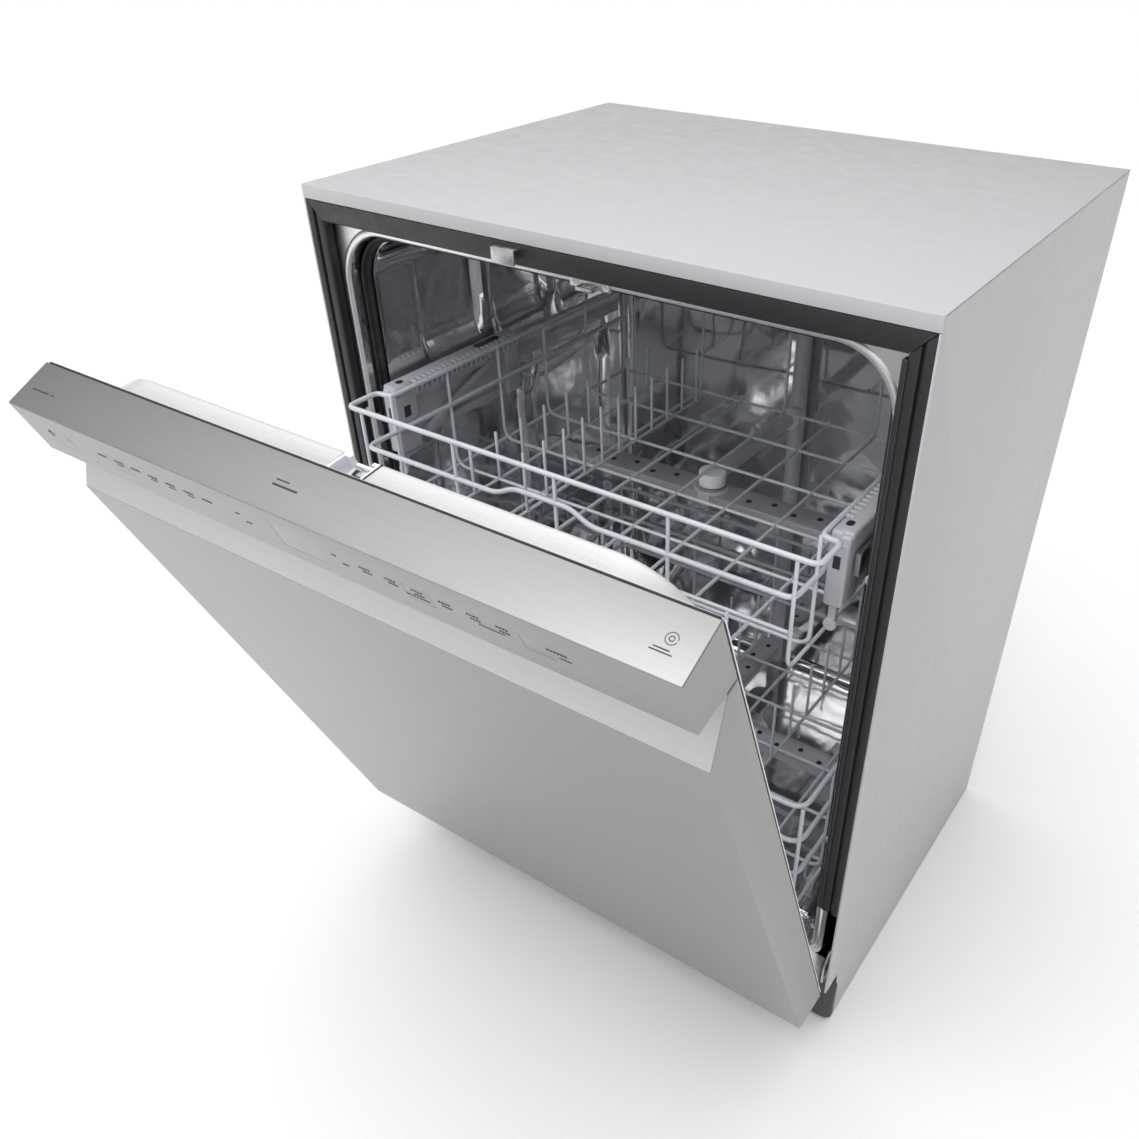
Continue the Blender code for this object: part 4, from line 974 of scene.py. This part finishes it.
def door_shell():
    """The door's skin, control panel and keys, the dispenser, the hinges and springs, and the feet."""
    front = soften("door_panel", DOOR_STEEL, 0.0010, 3)
    # The large faces that slant up, the pocket's lip, take the lighter copy of the door's steel: painted
    # light.
    front.data.materials.append(POCKET_STEEL_PAINTED_LIGHT)
    up = DOOR.to_3x3() @ Vector((0, 0, 1))
    for face in front.data.polygons:
        slanted, large = 0.25 < face.normal.dot(up) < 0.97, face.area > 1e-3
        if slanted and large:                        # only the pocket's lip
            face.material_index = 1
    keys = ("key_power", "key_cycle", "key_options", "key_start")
    soften("control_panel", DOOR_STEEL, 0.0013, 4, holes=(*keys, "display_window"))
    for name in keys:
        soften(name, DOOR_STEEL, 0.00004, 1, grow=0.00022)
    soften("display_window", GLASS, 0.00004, 1, grow=0.00022)
    soften("dispenser", PALE, 0.0010, 2)
    soften("dispenser_lid", PALE, 0.0007, 2)
    soften("rinse_cap", GREY, 0.0006, 2)
    for name in ("hinge_arm_left", "hinge_arm_right", "hinge_bracket_left", "hinge_bracket_right"):
        soften(name, ZINC, 0.0004, 2)
    for name in ("door_spring_left", "door_spring_right"):
        keep(name, ZINC)
    for name in ("foot_front_left", "foot_front_right", "foot_rear_left", "foot_rear_right"):
        soften(name, ZINC, 0.0006, 2)


PRINT_DEPTH, PRINT_THICK = 0.0009, 0.00012            # the print stands just proud of the panel


def add_print(bm, outline):
    """A printed shape on the control panel's front, from (x, height) points."""
    add_slab(bm, *([(x, DOOR_Y + d, DOOR_Z + h) for x, h in outline]
                   for d in (PRINT_DEPTH, PRINT_DEPTH - PRINT_THICK)))


def add_dash(bm, x, h, length, height):
    """A printed dash with round ends."""
    r = height / 2
    half = max(length / 2 - r, 0)
    add_print(bm, arc(x + half, h, r, -90, 90, 5) + arc(x - half, h, r, 90, 270, 5))


def print_words(bm, x, h, length, size):
    """A short row of dashes that stands for a printed word."""
    count = max(2, round(length / (size * 1.25)))
    step = length / count
    for i in range(count):
        add_dash(bm, x - length / 2 + step * (i + 0.5), h, step * 0.62, size)


def markings():
    """Generic printed marks round the keys: a power ring and rows of dashes, no lettering."""
    bm = bmesh.new()
    add_print(bm, arc(-0.2685, 0.6440, 0.0026, 120, 420, 24) + arc(-0.2685, 0.6440, 0.0021, 420, 120, 24))
    add_dash(bm, -0.2685, 0.6466, 0.0005, 0.0026)
    for x in spread(-0.205, -0.085, 7):
        print_words(bm, x, 0.6435, 0.0110, 0.0018)
    for x in (-0.186, -0.146, -0.126, -0.105):
        print_words(bm, x, 0.6398, 0.0080, 0.0012)
    for x in (-0.052, 0.040):
        print_words(bm, x, 0.6450, 0.0050, 0.0016)
        print_words(bm, x + 0.007, 0.6385, 0.0060, 0.0016)
    for x in spread(0.066, 0.176, 6):
        print_words(bm, x, 0.6438, 0.0100, 0.0018)
        print_words(bm, x + 0.001, 0.6402, 0.0085, 0.0016)
    for x in (0.108, 0.166):
        print_words(bm, x, 0.6370, 0.0200, 0.0010)
    print_words(bm, 0.215, 0.6430, 0.0150, 0.0020)
    print_words(bm, 0.220, 0.6384, 0.0090, 0.0012)
    piece("control_marks", bm, INK, "door", place=DOOR_SHIFT)
    top_marks()


def top_marks():
    """Plain dashes and a small ring on the control panel's top, clear of the crease."""
    bm = bmesh.new()
    flat = Matrix.Translation((0, DOOR_Y, DOOR_Z + DOOR_TOP)) @ Matrix.Rotation(TOP_SLOPE, 4, "X")

    under, over = -0.00005, 0.00010

    def dash(x, depth, length, width):
        add_block(bm, (x - length / 2, depth - width / 2, under), (x + length / 2, depth + width / 2, over))

    for x, depth, length, width in ((-0.2790, 0.0190, 0.0200, 0.0013), (-0.2640, 0.0190, 0.0050, 0.0009),
                                    (-0.0130, 0.0245, 0.0120, 0.0010), (-0.0080, 0.0205, 0.0230, 0.0015),
                                    (0.2800, 0.0165, 0.0100, 0.0008), (0.2805, 0.0145, 0.0140, 0.0008)):
        dash(x, depth, length, width)
    for r, w in ((0.0040, 0.0005), (0.0018, 0.0006)):
        outer, inner = arc(0.2825, 0.0235, r, 0, 345, 20), arc(0.2825, 0.0235, r - w, 0, 345, 20)
        add_slab(bm, *([(*p, z) for p in outer + inner[::-1]] for z in (under, over)))
    piece("top_marks", bm, INK, "door", place=DOOR_SHIFT @ flat)


# ---- stage --------------------------------------------------------------------------------
def floor():
    """A pale matt floor that runs out past the view."""
    bm = bmesh.new()
    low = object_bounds()[0][2]
    bmesh.ops.create_grid(bm, x_segments=2, y_segments=2, size=60.0, matrix=Matrix.Translation((0, 0, low)))
    mesh = bpy.data.meshes.new("floor")
    bm.to_mesh(mesh)
    bm.free()
    obj = bpy.data.objects.new("floor", mesh)
    bpy.context.scene.collection.objects.link(obj)
    s = Shader("floor", (0.93, 0.93, 0.93), 0.8)
    s.out.inputs["Specular IOR Level"].default_value = 0.1
    s.paint(s.blend(s.remap(s.noise(3, 2), 0, 1), (0.925, 0.925, 0.925), (0.935, 0.935, 0.935)))
    mesh.materials.append(s.material)
    obj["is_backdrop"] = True


def lamp(name, place, target, size, power):
    """A square lamp that faces its target."""
    data = bpy.data.lights.new(name, "AREA")
    data.size = size
    data.energy = power
    obj = bpy.data.objects.new(name, data)
    bpy.context.scene.collection.objects.link(obj)
    obj.location = place
    obj.rotation_euler = (Vector(target) - Vector(place)).to_track_quat("-Z", "Y").to_euler()


def lights():
    """A large soft dome, brightest overhead and a little to the front left."""
    world = bpy.data.worlds.new("studio")
    bpy.context.scene.world = world
    bpy.context.scene.view_settings.view_transform = "Standard"
    world.use_nodes = True
    tree = world.node_tree
    shade = tree.nodes["Background"]
    ramp = tree.nodes.new("ShaderNodeMapRange")
    ramp.inputs["From Min"].default_value = DOME_EDGE
    ramp.inputs["To Min"].default_value = DOME_LOW
    ramp.inputs["To Max"].default_value = DOME_PEAK
    aim = tree.nodes.new("ShaderNodeVectorMath")
    aim.operation = "DOT_PRODUCT"
    aim.inputs[1].default_value = Vector(DOME_WAY).normalized()
    coords = tree.nodes.new("ShaderNodeTexCoord")
    tree.links.new(coords.outputs["Generated"], aim.inputs[0])
    tree.links.new(aim.outputs["Value"], ramp.inputs["Value"])
    tree.links.new(ramp.outputs["Result"], shade.inputs["Strength"])
    shade.inputs["Color"].default_value = (1.0, 1.0, 1.0, 1)
    lamp("front_left", (-2.3, -3.0, 2.2), (-2.0, -2.4, 0.0), 2.0, 12)
    lamp("overhead", (0.15, -1.25, 2.1), (0, 0.05, 0.45), 0.9, 6)


def camera():
    """From the front right, looking down over the open door."""
    data = bpy.data.cameras.new("camera")
    data.sensor_width = 36.0
    data.lens = 32.344
    data.shift_x, data.shift_y = -0.07095, 0.06679
    data.clip_start = 0.01
    obj = bpy.data.objects.new("camera", data)
    bpy.context.scene.collection.objects.link(obj)
    obj.location = cab(0.5050, -0.6368, 1.0430)
    obj.rotation_euler = (math.radians(90 - 37.420), 0, math.radians(33.971))
    bpy.context.scene.camera = obj


def main():
    casing()
    tub()
    gasket()
    strike()
    upper_rack()
    tines()
    lower_rack()
    adjusters()
    basket()
    wheels()
    wash_system()
    rails()
    liner()
    latch()
    door_shell()
    markings()
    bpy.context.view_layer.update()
    floor()
    lights()
    camera()


main()
